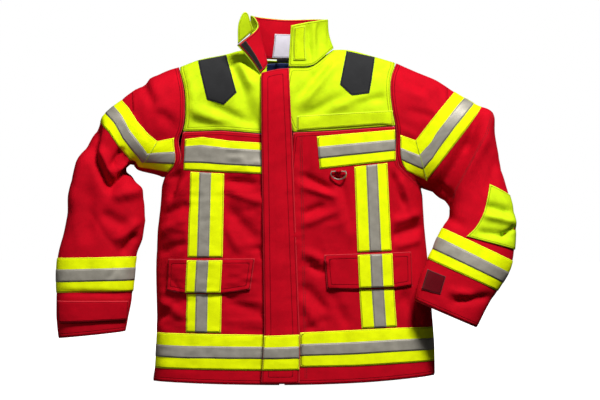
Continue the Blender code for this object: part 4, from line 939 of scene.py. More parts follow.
def cloth(name, slot, body, patch, inner, thickness, nodes=(), cell=CELL, ring=False, rows=None,
          drop_cell=None, finish=None, goes_on=None):
    """A piece of cloth: two layers of a fine grid laid on patch(u, v, offset), closed by a rim."""
    line = np.linspace(0, 1, 41)
    zero = np.zeros(41)
    wide = lengths(patch(line, zero + 0.5, zero), 0)[-1]
    tall = lengths(patch(zero + 0.5, line, zero), 0)[-1]
    columns = max(int(round(wide / cell)), 3)
    if rows is None:
        rows = np.linspace(0, 1, max(int(round(tall / cell)), 3) + 1)
    u, v = np.meshgrid(np.linspace(0, 1, columns + 1), rows)
    low = patch(u, v, np.full(u.shape, inner))
    press = np.full(u.shape, thickness)
    finished = [end for end in (0, -1) if end != goes_on]
    press[finished, :] *= 0.5
    if not ring:
        press[:, [0, -1]] *= 0.5
    high = patch(u, v, inner + press)
    along, up = lengths(high, 1), lengths(high, 0)
    sides = np.minimum(along, along[:, -1:] - along)
    ends = np.minimum(*[np.abs(up - up[end]) for end in (finished * 2)[:2]])
    gap = ends if ring else np.minimum(sides, ends)
    run = np.where((sides < ends) & (not ring), up, along)
    count = u.size
    index = np.arange(count).reshape(u.shape)
    a, b, c, d = index[:-1, :-1], index[:-1, 1:], index[1:, 1:], index[1:, :-1]
    quads = np.stack([a, b, c, d], axis=-1)
    if drop_cell:
        middle = (high[:-1, :-1] + high[1:, 1:]) / 2
        quads = quads[~drop_cell((v[:-1, :-1] + v[1:, 1:]) / 2, middle)]
    quads = quads.reshape(-1, 4)
    joined = quads
    if ring:
        joined = np.where(quads % (columns + 1) == columns, quads - columns, quads)
    pairs = np.concatenate([joined[:, [k, (k + 1) % 4]] for k in range(4)])
    twin = set(map(tuple, pairs[:, ::-1].tolist()))
    border = np.array([pair for pair in pairs.tolist() if tuple(pair) not in twin])
    rim = np.stack([border[:, 1], border[:, 0], border[:, 0] + count, border[:, 1] + count], axis=-1)
    faces = np.concatenate([joined, joined[:, ::-1] + count, rim])
    points = np.concatenate([high.reshape(-1, 3), low.reshape(-1, 3)])
    a, b, d = (points[joined[:, k]] for k in (0, 1, 3))
    normals = np.cross(b - a, d - a)
    outward = a - points[joined[:, 0] + count]
    uv = np.stack([along.ravel(), up.ravel()], axis=-1)
    loops = np.concatenate([quads, quads[:, ::-1], rim % count])
    if (normals * outward).sum() < 0:
        faces, loops = faces[:, ::-1], loops[:, ::-1]
    used = np.unique(faces)
    renumber = np.zeros(2 * count, int)
    renumber[used] = np.arange(len(used))
    corners = renumber[faces].tolist()
    obj = mesh_object(name, points[used].tolist(), corners, finish or fabric(slot))
    mesh = obj.data
    mesh.uv_layers.new(name="UVMap").uv.foreach_set("vector", uv[loops].astype(np.float32).ravel())
    for key, values in (("edge_gap", gap), ("edge_run", run)):
        data = np.tile(values.ravel(), 2)[used].astype(np.float32)
        mesh.attributes.new(key, "FLOAT", "POINT").data.foreach_set("value", data)
    if nodes:
        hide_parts(*nodes)
    area = np.linalg.norm(normals, axis=-1).sum()
    size = [max(length.mean(), LEAST_FLAT) for length in (along[:, -1], up[-1])]
    area = min(max(area, 0.31 * size[0] * size[1]), size[0] * size[1])
    place_piece(obj, body)
    return obj


def tube(points, radius, sides):
    """Rings of points round a run of points, and the faces between them."""
    points = np.asarray(points, float)
    way = np.gradient(points, axis=0)
    way /= np.maximum(np.linalg.norm(way, axis=-1), 1e-12)[:, None]
    side = np.cross(way, (0.0, 1.0, 0.0))
    small = np.linalg.norm(side, axis=-1) < 0.1
    side[small] = np.cross(way[small], (1.0, 0.0, 0.0))
    side /= np.linalg.norm(side, axis=-1)[:, None]
    up = np.cross(side, way)
    turn = np.linspace(0, 2 * math.pi, sides, endpoint=False)[None, :, None]
    radius = np.broadcast_to(radius, len(points))[:, None, None]
    rings = points[:, None] + radius * (np.cos(turn) * side[:, None] + np.sin(turn) * up[:, None])
    faces = []
    for start in range(0, (len(points) - 1) * sides, sides):
        for k in range(sides):
            m = (k + 1) % sides
            faces.append((start + k, start + m, start + sides + m, start + sides + k))
    faces.append(tuple(range(sides)))
    faces.append(tuple(range(len(points) * sides - 1, (len(points) - 1) * sides - 1, -1)))
    return rings.reshape(-1, 3), faces


def cord_line(name, body, points, radius, finish):
    """A thin round run of cord or folded edge, with closed ends."""
    rings, faces = tube(points, radius, 6)
    obj = mesh_object(name, rings.tolist(), faces, finish)
    place_piece(obj, body)


THREADS = {}


def thread(body, colour, runs, radius=0.0005, stitch=0.0030, space=0.0009):
    """Rows of stitches along runs of points, kept until all of a body's stitches are known."""
    store = THREADS.setdefault((body, colour), [])
    for run in runs:
        reach = lengths(run, 0)
        starts = np.arange(space, reach[-1] - stitch, stitch + space)
        for start in starts:
            marks = start + stitch * np.array([0, 0.15, 0.85, 1])
            points = np.stack([np.interp(marks, reach, column) for column in run.T], axis=-1)
            store.append((points, radius * np.array([0.3, 1, 1, 0.3])))


def sew_all():
    """One mesh of thread for each body and colour."""
    for (body, colour), stitches in THREADS.items():
        points, faces, count = [], [], 0
        for run, radius in stitches:
            ring, quads = tube(run, radius, 4)
            points += ring.tolist()
            faces += [tuple(k + count for k in quad) for quad in quads]
            count += len(ring)
        obj = mesh_object(f"{body}_{colour}_stitching", points, faces, THREAD[colour], False)
        place_piece(obj, body)


def plain(name, colour, roughness, sheen=0.3):
    """Thread and other small plain things, with a fine twist in the surface."""
    made, add, maths, feed = shader(name, roughness, sheen=sheen)
    place = add("TexCoord", {}).outputs["Object"]
    grain = add("TexNoise", {"Vector": place, "Scale": 1400.0, "Detail": 3.0})
    tone = add("MapRange", {0: grain.outputs["Fac"], 3: 0.7, 4: 1.2}).outputs[0]
    feed("Base Color", add("VectorMath", {0: colour, "Scale": tone}, operation="SCALE").outputs[0])
    height = maths("MULTIPLY", grain.outputs["Fac"], 0.0001)
    feed("Normal", add("Bump", {"Height": height, "Strength": 0.6, "Distance": 1.0}).outputs[0])
    return made


THREAD = {
    "red": plain("red_thread", (0.20, 0.001, 0.006), 0.6),
    "yellow": plain("yellow_thread", (0.40, 0.55, 0.005), 0.6),
    "black": plain("black_thread", (0.02, 0.02, 0.02), 0.6),
}


# Shell panels, as in the solids

CLEAR = 3e-6
HOLD = -0.0006
YOKE_LOW_RIGHT = ((-0.2352, -0.1625), (-0.150, -0.160), (-0.0365, -0.1695))
YOKE_LOW_LEFT = ((0.0065, -0.164), (0.100, -0.160), (0.2310, -0.150))
YOKE_LOW_BACK = ((-0.2365, -0.160), (0.0, -0.160), (0.2315, -0.150))


def lowered(points, dz):
    return straight(*[(x, z - dz) for x, z in points])


def shoulder_run(start, end, front=True):
    """The shoulder line from x to x, as angles on the torso."""

    def at(t):
        x = start + (end - start) * np.asarray(t, float)
        return np.stack([section(x, 0 * x), drop(x, SHOULDER(x) - CLEAR, front)], axis=-1)

    return at


def neck_run(start, end):
    """A stretch of the neck seam, as angles on the torso."""
    return lambda t: NECK_PATH(start + (end - start) * t)


def armhole_run(x_at, low, tip_x, gap, front=True):
    """The armhole's edge from height low up to the shoulder line at tip_x, as angles."""
    heights = np.linspace(low, SHOULDER(tip_x) - 0.012, 9)
    points = spot(x_at(heights) + gap, heights, front)
    return straight(*points, shoulder_run(tip_x, tip_x, front)(0))


def make_yokes():
    tips = (-0.2445, 0.2337)
    zip_side = straight(
        (-0.0365, -0.1695), (right_edge(-0.13), -0.13), (right_edge(-0.08), -0.08), (-0.0655, -0.037)
    )
    right = on_grid(
        level(straight(*YOKE_LOW_RIGHT[::-1])),
        chain(0.45, neck_run(0, NECK_MARKS[0] - 0.002), shoulder_run(NECK_SIDES[0], tips[0])),
        across(zip_side),
        armhole_run(RIGHT_ARMHOLE, -0.1625, tips[0], HOLD),
    )
    sewn("right_yoke", "yoke_yellow", right, -FABRIC, FABRIC, 0.0035)
    zip_side = straight((0.0065, -0.164), (left_edge(-0.10) + 0.002, -0.10), (-0.003, -0.022))
    left = on_grid(
        level(straight(*YOKE_LOW_LEFT)),
        chain(0.45, neck_run(1, NECK_MARKS[1] + 0.002), shoulder_run(NECK_SIDES[1], tips[1])),
        across(zip_side),
        armhole_run(LEFT_ARMHOLE, -0.150, tips[1], -HOLD),
    )
    sewn("left_yoke", "yoke_yellow", left, -FABRIC, FABRIC, 0.0035)
    to_neck = (NECK_SIDES[0] - tips[0]) / (tips[1] - tips[0])
    from_neck = (NECK_SIDES[1] - tips[0]) / (tips[1] - tips[0])
    middle_run = chain(
        (from_neck - to_neck) / (1 - to_neck),
        neck_run(NECK_MARKS[0] + 0.0008, NECK_MARKS[1] - 0.0008),
        shoulder_run(NECK_SIDES[1], tips[1], False),
    )
    back = on_grid(
        level(straight(*YOKE_LOW_BACK), False),
        chain(to_neck, shoulder_run(tips[0], NECK_SIDES[0], False), middle_run),
        armhole_run(RIGHT_ARMHOLE, -0.160, tips[0], HOLD, False),
        armhole_run(LEFT_ARMHOLE, -0.150, tips[1], -HOLD, False),
    )
    sewn("back_yoke", "yoke_yellow", back, -FABRIC, FABRIC)


def side_edge(armhole, side, pit, low, high, gap):
    """A panel's outer edge: down the armhole, then down the side seam."""
    upper = [(float(armhole(z)) + 2 * gap, z) for z in np.linspace(pit + 0.004, high, 4)]
    lower = [(float(side(z)) + gap / 3, z) for z in np.linspace(low, pit - 0.02, 6)]
    return straight(*lower, *upper)


POCKETS = {
    "right": ((-0.2655, -0.0765), (-0.4420, -0.4400)),
    "left": ((0.0748, 0.2640), (-0.4320, -0.4260)),
}


def hem_run(start, end):
    return straight(*[(x, float(HEM(x))) for x in np.linspace(start, end, 13)])


def panel_with_slot(name, side, patch, low, high):
    """A front panel, with its pocket's slot left open."""
    (x_low, x_high), (z_low, z_high) = POCKETS[side]
    middle = (z_low + z_high) / 2 - 0.016
    marks = [(z - low) / (high - low) for z in (low, middle - 0.007, middle + 0.007, high)]
    rows = [np.linspace(marks[0], marks[1], 55), [marks[2]], np.linspace(marks[2], marks[3], 55)[1:]]

    def in_slot(v, middle):
        inside = (x_low + 0.025 < middle[..., 0]) & (middle[..., 0] < x_high - 0.025)
        return inside & (marks[1] < v) & (v < marks[2])

    rows = np.concatenate(rows)
    sewn(name, "shell_red", patch, -FABRIC, FABRIC, rows=rows, drop_cell=in_slot)


def make_panels():
    sides = (float(RIGHT_SIDE(-0.71)) + HOLD / 3, float(LEFT_SIDE(-0.70)) - HOLD / 3)
    right = torso_patch(
        hem_run(sides[0], right_edge(-0.71)),
        lowered(YOKE_LOW_RIGHT, 2 * SEAM),
        side_edge(RIGHT_ARMHOLE, RIGHT_SIDE, RIGHT_PIT, -0.7106, -0.1637, HOLD),
        straight((right_edge(-0.716), float(HEM(-0.02))), (right_edge(-0.40), -0.40), (-0.0365, -0.1707)),
    )
    panel_with_slot("right_front_panel", "right", right, -0.714, -0.166)
    left = torso_patch(
        hem_run(left_edge(-0.7165), sides[1]),
        lowered(YOKE_LOW_LEFT, 2 * SEAM),
        straight((left_edge(-0.7165), float(HEM(-0.014))), (left_edge(-0.40), -0.40), (0.0065, -0.1652)),
        side_edge(LEFT_ARMHOLE, LEFT_SIDE, LEFT_PIT, -0.698, -0.1512, -HOLD),
    )
    panel_with_slot("left_front_panel", "left", left, -0.707, -0.158)
    back = torso_patch(
        hem_run(*sides),
        lowered(YOKE_LOW_BACK, 2 * SEAM),
        side_edge(RIGHT_ARMHOLE, RIGHT_SIDE, RIGHT_PIT, -0.7106, -0.1612, HOLD),
        side_edge(LEFT_ARMHOLE, LEFT_SIDE, LEFT_PIT, -0.698, -0.1512, -HOLD),
        front=False,
    )
    sewn("back_panel", "shell_red", back, -FABRIC, FABRIC, 0.007)


# Reflective tape: a fluorescent tape with a silver stripe along its middle third


def sewn(name, slot, patch, lift, thickness, cell=CELL, gaps=None, suffix="", body="shell", **more):
    """The cloth of one node, with rows of stitches at the given distances from its edges."""
    finish = fabric(slot, gaps, suffix) if gaps else None
    cloth(name + "_cloth", slot, body, patch, lift, thickness, [name], cell, finish=finish, **more)


def taped(name, body, patch, lift=TRIM_GAP, ring=False, along_u=True, third=(0.325, 0.665)):
    sewn(name, "reflective_tape", patch, lift, TRIM, BAND_CELL, (0.0022,), "_edge", body, ring=ring)

    def stripe(u, v, offset):
        low, high = third
        if along_u:
            return patch(u, low + (high - low) * v, offset)
        return patch(low + (high - low) * u, v, offset)

    cloth(name + "_silver", "reflective_tape", body, stripe, lift + TRIM + 0.0001, 0.0005, (),
          BAND_CELL, ring, finish=silver())


# Upright bands: the two lower and the two upper corners, from the wearer's right to left
UPRIGHT_BANDS = {
    "right_upper": (((-0.2231, -0.4378), (-0.1470, -0.4378)), ((-0.2178, -0.2504), (-0.1439, -0.2548))),
    "left_upper": (((0.1474, -0.4268), (0.2222, -0.4237)), ((0.1408, -0.2398), (0.2127, -0.2314))),
    "right_lower": (((-0.2277, -0.6019), (-0.1507, -0.6028)), ((-0.2257, -0.4972), (-0.1487, -0.4972))),
    "left_lower": (((0.1571, -0.5936), (0.2341, -0.5894)), ((0.1500, -0.4884), (0.2266, -0.4862))),
}


def make_bands():
    low = ((-0.2332, -0.2464), (-0.1320, -0.2521), (-0.0352, -0.2565))
    top = ((-0.2297, -0.1789), (-0.1914, -0.1747), (-0.1320, -0.1830), (-0.0352, -0.1892))
    taped("right_chest_band", "shell", between(low, top), third=(0.235, 0.765))
    low, top = ((0.0653, -0.2449), (0.2314, -0.2259)), ((0.0590, -0.1734), (0.2297, -0.1584))
    taped("left_chest_band", "shell", between(low, top), third=(0.32, 0.68))
    for name, (low, top) in UPRIGHT_BANDS.items():
        taped(name + "_band", "shell", between(low, top), along_u=False)
    right_low, right_top = [(float(RIGHT_SIDE(z)) + 0.002, z) for z in (-0.68, -0.604)]
    right_low = (right_low[0], -0.682)
    left_low, left_top = [(float(LEFT_SIDE(z)) - 0.002, z) for z in (-0.666, -0.591)]
    low = (right_low, (-0.1320, -0.6842), (-0.0352, -0.6851))
    taped("right_hem_band", "shell", between(low, (right_top, (-0.0352, -0.6072))))
    low = ((0.0222, -0.6776), (0.1474, -0.6754), left_low)
    taped("left_hem_band", "shell", between(low, ((0.0222, -0.6019), (0.2332, -0.5922), left_top)))
    low, top = (right_low, (0, -0.682), left_low), (right_top, (0, -0.605), left_top)
    taped("back_hem_band", "shell", between(low, top, False))
    low, top = ((-0.229, -0.250), (0.229, -0.248)), ((-0.225, -0.175), (0.226, -0.173))
    taped("back_chest_band", "shell", between(low, top, False))


def make_yoke_trims():
    low = ((-0.1817, -0.0924), (-0.1452, -0.1043), (-0.1166, -0.0770))
    right = between(low, ((-0.2035, -0.0044), (-0.1408, 0.0077)))
    low = ((0.1093, -0.0598), (0.1355, -0.0843), (0.1734, -0.0792))
    left = between(low, ((0.1245, 0.0165), (0.1877, 0.0026)))
    for name, patch in (("right_shoulder_patch", right), ("left_shoulder_patch", left)):
        sewn(name, "abrasion_grey", patch, TRIM_GAP, TRIM, 0.0025, (0.003,))
    low = ((0.0154, -0.1606), (0.2024, -0.1465), (0.2255, -0.1496))
    strip = between(low, ((0.0154, -0.1289), (0.2248, -0.1166)))
    sewn("name_strip", "loop_tape_yellow", strip, TRIM_GAP, 0.0014, 0.0025, (0.0025,))


POCKET_FLAP_LOW = {
    "right": ((-0.2697, -0.5104), (-0.2277, -0.5179), (-0.1518, -0.5179), (-0.0867, -0.5082)),
    "left": ((0.0810, -0.5069), (0.1496, -0.5082), (0.2266, -0.5060), (0.2662, -0.4994)),
}
FLAP_BANDS = {
    "right": (((-0.2277, -0.5157), (-0.1511, -0.5157)), ((-0.2233, -0.4444), (-0.1472, -0.4440))),
    "left": (((0.1509, -0.5051), (0.2262, -0.5025)), ((0.1476, -0.4325), (0.2226, -0.4294))),
}


def make_pockets():
    """Each pocket: a bag behind the slot in the panel, a flap hinged over the slot, its tape."""
    for side, ((x_low, x_high), (z_low, z_high)) in POCKETS.items():
        body = side + "_pocket_flap"
        top = ((x_low, z_low), (x_high, z_high))
        sewn(body, "shell_red", between(POCKET_FLAP_LOW[side], top), 0.0028, 0.0025, 0.003,
             (0.0022, 0.0105), "_flap", body)
        taped(side + "_flap_band", body, between(*FLAP_BANDS[side]), 0.0059, along_u=False)
        low = (x_low + 0.008, -0.590), (x_high - 0.008, -0.590)
        top = (x_low + 0.008, z_low - 0.004), (x_high - 0.008, z_high - 0.004)
        flat = between(low, top)

        def bag(u, v, offset, flat=flat):
            rim = np.minimum(np.minimum(u, 1 - u), np.minimum(v, 1 - v))
            return flat(u, v, offset - 0.0095 * ramp(rim, 0.0, 0.06))

        sewn(side + "_pocket_bag", "barrier_black", bag, -0.0036, 0.0009)


def make_ring_tab():
    """A folded webbing tab that holds the D-ring's straight bar."""
    bar = on_torso(0.1060, -0.2499, 0.0056)
    out = on_torso(0.1060, -0.2499, 0.0066) - bar
    out = np.array([0, out[1], out[2]]) / np.linalg.norm(out[1:])
    up = np.array([0, -out[2], out[1]])
    up *= np.sign(up[2])

    def fold_over(u, v, offset):
        angle = np.radians(-60 + 300 * v)[..., None]
        radius = (0.0030 + offset)[..., None]
        middle = bar + np.stack([0.0130 * (u - 0.5), 0 * u, 0 * u], axis=-1)
        return middle + radius * (np.sin(angle) * out + np.cos(angle) * up)

    sewn("d_ring_tab", "shell_red", fold_over, 0.0, 0.0012, 0.001)


# Collar


def space_patch(low, high, outward):
    """A patch between two runs in space, whose outside faces the given way."""
    surface = with_normal(lambda u, v: (1 - v)[..., None] * low(u) + v[..., None] * high(u))
    half = np.array(0.5)
    side = np.sign(np.dot(surface(half, half, 0.001) - surface(half, half, 0.0), outward))
    return lambda u, v, offset: surface(u, v, side * offset)


CHIN_LEFT = through((-0.1140, -0.1392, 0.0290), (-0.1130, -0.1440, 0.0700), (-0.1030, -0.1400, 0.0985))
CHIN_RIGHT = through((-0.0800, -0.1200, 0.0600), (-0.0860, -0.1290, 0.0760), (-0.0930, -0.1360, 0.0985))


def make_collar():
    sewn("collar_shell", "yoke_yellow", collar, 0.0004, 0.0018, 0.003, (0.0040,), "_collar")
    lining = collar_patch(0.006, 0.994, 0.015, 0.985)
    sewn("collar_lining", "shell_red", lining, -0.0022, 0.0018, 0.003, (0.0040,), "_collar")
    patch = collar_patch(0.925, 0.982, 0.14, 0.93)
    sewn("collar_loop_patch", "loop_tape_yellow", patch, 0.0031, 0.0016, 0.002, (0.0025,))
    tongue = space_patch(CHIN_LEFT, CHIN_RIGHT, (0, -1, 0))

    def rounded(u, v, offset):
        return tongue(u * (1 - 0.10 * np.abs(2 * v - 1) ** 3), v, offset)

    sewn("chin_flap", "yoke_yellow", rounded, 0.0, 0.0022, 0.0025, (0.0040,), "_collar", "chin_flap")
    label = collar_patch(0.470, 0.530, 0.04, 0.62)
    sewn("size_label", "label_white", label, -0.0040, 0.0006, 0.002, (0.0020,))
    for name, low, high in (("right", 0.010, 0.032), ("left", 0.968, 0.990)):
        tape = collar_patch(low, high, 0.06, 0.96)
        sewn(name + "_collar_zip", "zip_black", tape, -0.0042, 0.0012, 0.002, (0.0020,))


def make_hanger_loop():
    """A small webbing loop at the neck seam, bowed forward from the origin."""

    def at(u, v, offset):
        bow = np.sin(math.pi * u)
        return np.stack([0.060 * (u - 0.5), -0.0125 * bow - offset, 0.0045 * (2 * v - 1)], axis=-1)

    sewn("hanger_loop", "zip_black", at, 0.0, 0.0015, 0.0015)


# Front closure

FLAP_FREE = straight((-0.0627, -0.0374), (-0.0623, -0.1628), (-0.0561, -0.5984), (-0.0627, -0.7140))
FLAP_SEWN = straight((-0.0022, -0.0242), (0.0044, -0.1628), (0.0209, -0.5984), (0.0209, -0.7140))


def strip_patch(x_low, x_high, low, high):
    """A tall narrow strip of the torso's front, between two lines x(z)."""
    return torso_patch(
        straight((float(x_low(low)), low), (float(x_high(low)), low)),
        straight((float(x_low(high)), high), (float(x_high(high)), high)),
        vertical(x_low, low, high),
        vertical(x_high, low, high),
        still=True,
    )


def tooth(points, faces, centre):
    """A box that narrows towards the front, for one tooth."""
    count = len(points)
    for i, j, k in [(i, j, k) for i in (-1, 1) for j in (-1, 1) for k in (-1, 1)]:
        lean = 0.8 if j < 0 else 1.0
        points.append(tuple(centre + np.array((i * lean, j, k * lean)) * TOOTH_HALF_SIZE))
    quads = ((0, 1, 3, 2), (4, 6, 7, 5), (0, 4, 5, 1), (2, 3, 7, 6), (0, 2, 6, 4), (1, 5, 7, 3))
    faces += [tuple(count + n for n in quad) for quad in quads]


def make_zip():
    """Two tapes behind the front edges, and between them the two rows of teeth."""
    lines = {
        "right": (lambda z: right_edge(z) - 0.0140, lambda z: right_edge(z) + 0.0002, -0.085),
        "left": (lambda z: left_edge(z) - 0.0002, lambda z: left_edge(z) + 0.0140, -0.032),
    }
    for name, (x_low, x_high, top) in lines.items():
        tape = strip_patch(x_low, x_high, ZIP_BOTTOM_Z, top)
        sewn(name + "_zip_tape", "zip_black", tape, -0.0040, 0.0010, BAND_CELL, (0.0020,))
    points, faces = [], []
    for k in range(TEETH_PER_SIDE):
        for way in (-1, 1):
            height = TOOTH_LOW_Z + TOOTH_PITCH * k + TOOTH_PITCH / 2 * (way > 0)
            tooth(points, faces, on_torso(zip_x(height) + way * 0.0026, height, -0.0017))
    finish = plain("tooth_black", (0.012, 0.010, 0.009), 0.35, 0.0)
    teeth = mesh_object("zip_teeth_moulded", points, faces, finish, False)
    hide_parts("zip_teeth")
    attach(teeth, "shell")


def flap_lift(u):
    """How far the storm flap stands off, from its free edge across to its sewn edge."""
    return 0.0075 - (0.0075 - 0.0013) * np.clip((u - 0.50) / 0.42, 0, 1) ** 1.5


def make_storm_flap():
    """The flap over the zip, with its own length of hem tape, hinged along its sewn edge."""
    patch = torso_patch(
        straight(FLAP_FREE(1), FLAP_SEWN(1)),
        straight(FLAP_FREE(0), FLAP_SEWN(0)),
        lambda t: FLAP_FREE(1 - t),
        lambda t: FLAP_SEWN(1 - t),
        still=True,
    )

    def flap(u, v, offset):
        wave = 0.0016 * ripple(u * 1.5 + 0.3, v * 16, 31) * ramp(1 - u, 0.0, 0.3)
        wave = wave + 0.0010 * ripple(u * 2.0, v * 60, 71) * np.exp(-(1 - u) / 0.35) * ramp(1 - u, 0, 0.1)
        return patch(u, v, flap_lift(u) + wave + offset)

    sewn("storm_flap", "shell_red", flap, 0.0, 0.0030, CELL, (0.0035, 0.0150), "_storm", "storm_flap")

    def band(u, v, offset):
        return flap(0.012 + 0.984 * u, 0.0440 + 0.1120 * v, offset)

    taped("storm_flap_band", "storm_flap", band, 0.0030 + TRIM_GAP)


# Liner


def quilted(patch, wide, tall):
    """Puffs between crossing rows of quilting, which show on the inside."""

    def at(u, v, offset):
        rising = np.abs(np.sin(math.pi * (u * wide + v * tall)))
        falling = np.abs(np.sin(math.pi * (u * wide - v * tall)))
        return patch(u, v, offset - 0.0045 * (rising * falling) ** 0.6)

    return at


def liner_half(side, armhole, tip, edge, front_end):
    """One front panel of the liner, from the shoulder down to above the hem."""
    way = 1 if side(-0.4) < 0 else -1
    outer = [(side(z) + way * 0.004, z) for z in np.linspace(-0.680, -0.300, 5)]
    outer += [(armhole(z) + way * 0.016, z) for z in (-0.240, -0.160, -0.090)]
    upper = [spot(*place) for place in outer]
    inner = [(edge(z) - way * 0.030, z) for z in np.linspace(-0.680, -0.080, 7)]
    low = [(side(-0.68) + way * 0.004, -0.680), (edge(-0.68) - way * 0.030, -0.680)]
    shoulder = NECK_SIDES[0 if way > 0 else 1] - way * 0.016
    top = chain(
        0.5,
        shoulder_run(tip + way * 0.016, shoulder),
        straight(shoulder_run(shoulder, shoulder)(0), spot(front_end, -0.060)),
    )
    corner = tip + way * 0.016
    return on_grid(
        level(straight(*low)),
        top,
        straight(*upper, shoulder_run(corner, corner)(0)),
        across(straight(*inner)),
        still=True,
    )


def liner_side(side, armhole, way):
    """The back liner's edge, from above the hem up to the shoulder."""
    points = [(side(z) + way * 0.004, z) for z in np.linspace(-0.680, -0.300, 5)]
    return points + [(armhole(z) + way * 0.016, z) for z in (-0.240, -0.160, -0.090, -0.040)]


def make_liner():
    """The quilted liner, in three panels that stand a little inside the shell."""
    halves = {
        "right_liner": liner_half(RIGHT_SIDE, RIGHT_ARMHOLE, -0.2445, right_edge, -0.096),
        "left_liner": liner_half(LEFT_SIDE, LEFT_ARMHOLE, 0.2337, left_edge, 0.040),
    }
    for name, half in halves.items():
        sewn(name, "liner_navy", quilted(half, 2.5, 6.5), LINER_LIFT, FABRIC, 0.007, (0.0040,))
    right, left = liner_side(RIGHT_SIDE, RIGHT_ARMHOLE, 1), liner_side(LEFT_SIDE, LEFT_ARMHOLE, -1)
    neck = (-0.090, -0.010), (-0.060, -0.003), (0.060, -0.003), (0.090, -0.010)
    back = torso_patch(
        straight(right[0], left[0]),
        straight(right[-1], *neck, left[-1]),
        straight(*right),
        straight(*left),
        front=False,
        still=True,
    )

    def close_at_neck(u, v, offset):
        return back(u, v, offset + 0.0125 * ramp(v, 0.92, 1.0))

    quilt = quilted(close_at_neck, 6.0, 7.0)
    sewn("back_liner", "liner_navy", quilt, LINER_LIFT, FABRIC, 0.006, (0.0040,))


# Sleeves and what is sewn on them

STRAP_LIFT = 0.0036
RIGHT_STRAP = ((-0.5049, -0.5826), (-0.3604, -0.5755), (-0.3582, -0.5337), (-0.5078, -0.5337))
LEFT_STRAP = ((0.2981, -0.5291), (0.3960, -0.5577), (0.4180, -0.5192), (0.3157, -0.4730))


def make_sleeves():
    """A head over the shoulder between shell and arm, the sleeve that rides the arm, and its barrier."""
    for side, sleeve in (("right", RIGHT_SLEEVE), ("left", LEFT_SLEEVE)):
        name, arm = side + "_sleeve", side + "_arm"
        head = wrap_patch(sleeve, 0.0, 0.205)
        sewn(name + "_head", "shell_red", head, -FABRIC, FABRIC, body=side, ring=True, goes_on=0)
        rest = wrap_patch(sleeve, 0.195, 1.0)
        sewn(name, "shell_red", rest, -FABRIC, FABRIC, body=arm, ring=True, goes_on=-1)
        barrier = wrap_patch(sleeve, 0.56, 0.985)
        sewn(name + "_liner", "barrier_black", barrier, -0.0062, 0.0012, 0.006, body=arm, ring=True)


def make_chevrons():
    top = (
        (-0.3740, -0.0889), (-0.3542, -0.1100), (-0.3344, -0.1408),
        (-0.3089, -0.1694), (-0.2904, -0.1839), (-0.2541, -0.1760),
    )
    low = (
        (-0.4253, -0.1364), (-0.3982, -0.1628), (-0.3762, -0.1958),
        (-0.3586, -0.2156), (-0.3366, -0.2420), (-0.2684, -0.2508),
    )
    taped("right_chevron_band", "right", folded_band(RIGHT_SLEEVE, top, low))
    top = (
        (0.3630, -0.0739), (0.3454, -0.0939), (0.3102, -0.1364),
        (0.2757, -0.1815), (0.2420, -0.1700),
    )
    low = (
        (0.4215, -0.1104), (0.3916, -0.1518), (0.3454, -0.2112),
        (0.3014, -0.2684), (0.2560, -0.2480),
    )
    taped("left_chevron_band", "left", folded_band(LEFT_SLEEVE, top, low))


def make_sleeve_trims():
    make_chevrons()
    pairs = ((-0.5148, -0.4400), (-0.3388, -0.4365)), ((-0.5148, -0.5166), (-0.3476, -0.5135))
    taped("right_cuff_band", "right_arm", round_band(RIGHT_SLEEVE, *pairs), ring=True)
    pairs = ((0.4884, -0.4462), (0.3335, -0.3733)), ((0.4532, -0.5104), (0.3014, -0.4407))
    taped("left_cuff_band", "left_arm", round_band(LEFT_SLEEVE, *pairs), ring=True)
    top, low = ((0.4796, -0.3014), (0.4371, -0.2765)), ((0.4895, -0.4202), (0.3839, -0.3916))
    sewn("left_elbow_patch", "yoke_yellow", folded_band(LEFT_SLEEVE, top, low), 0.0020, TRIM, 0.0025,
         (0.0035,), "_patch", "left_arm")
    corners = (-0.4796, -0.4070), (-0.3564, -0.4070), (-0.3696, -0.2948), (-0.4532, -0.2684)
    sewn("right_elbow_patch", "yoke_yellow", side_patch(RIGHT_SLEEVE, corners, False), TRIM_GAP, TRIM,
         CELL, (0.0035,), "_patch", "right_arm")
    for name, sleeve, corners, front in (
        ("right_cuff_strap", RIGHT_SLEEVE, RIGHT_STRAP, True),
        ("left_cuff_strap", LEFT_SLEEVE, LEFT_STRAP, False),
    ):
        strap = side_patch(sleeve, corners, front)
        sewn(name, "shell_red", strap, STRAP_LIFT, 0.0024, 0.003, (0.0030,), "_strap", name)
    corners = (0.2871, -0.5071), (0.3267, -0.5181), (0.3388, -0.4785), (0.3003, -0.4631)
    sewn("left_cuff_loop_patch", "loop_tape_red", side_patch(LEFT_SLEEVE, corners), TRIM_GAP, 0.0014,
         0.002, (0.0025,), body="left_arm")


def make_seams():
    """Rows of thread and seams that don't follow a piece's edge."""
    z = np.linspace(-0.172, -0.702, 160)
    for step in (0.0050, 0.0090):
        thread("shell", "red", [on_torso(seam_line(z) + 0.006 + step, z, 0.0004)])
    left = straight(*[(0.4378, -0.1188), (0.4261, -0.1672), (0.3608, -0.3102)])
    for shift in (0.0, 0.0030):
        run = LEFT_SLEEVE.place(lambda t: left(t) + np.array([shift, 0]))(np.linspace(0, 1, 60))
        thread("left_arm", "red", [LEFT_SLEEVE.at(run[:, 0], run[:, 1], 0.0003)])
    mitres = (
        ("right", RIGHT_SLEEVE, (-0.2904, -0.1839), (-0.3197, -0.231)),
        ("left", LEFT_SLEEVE, (0.2757, -0.1815), (0.3014, -0.2706)),
    )
    for side, sleeve, top, low in mitres:
        run = sleeve.place(straight(top, low))(np.linspace(0.02, 0.98, 24))
        points = sleeve.at(run[:, 0], run[:, 1], TRIM_GAP + TRIM + 0.0006)
        cord_line(side + "_mitre_seam", side, points, 0.0006, THREAD["yellow"])


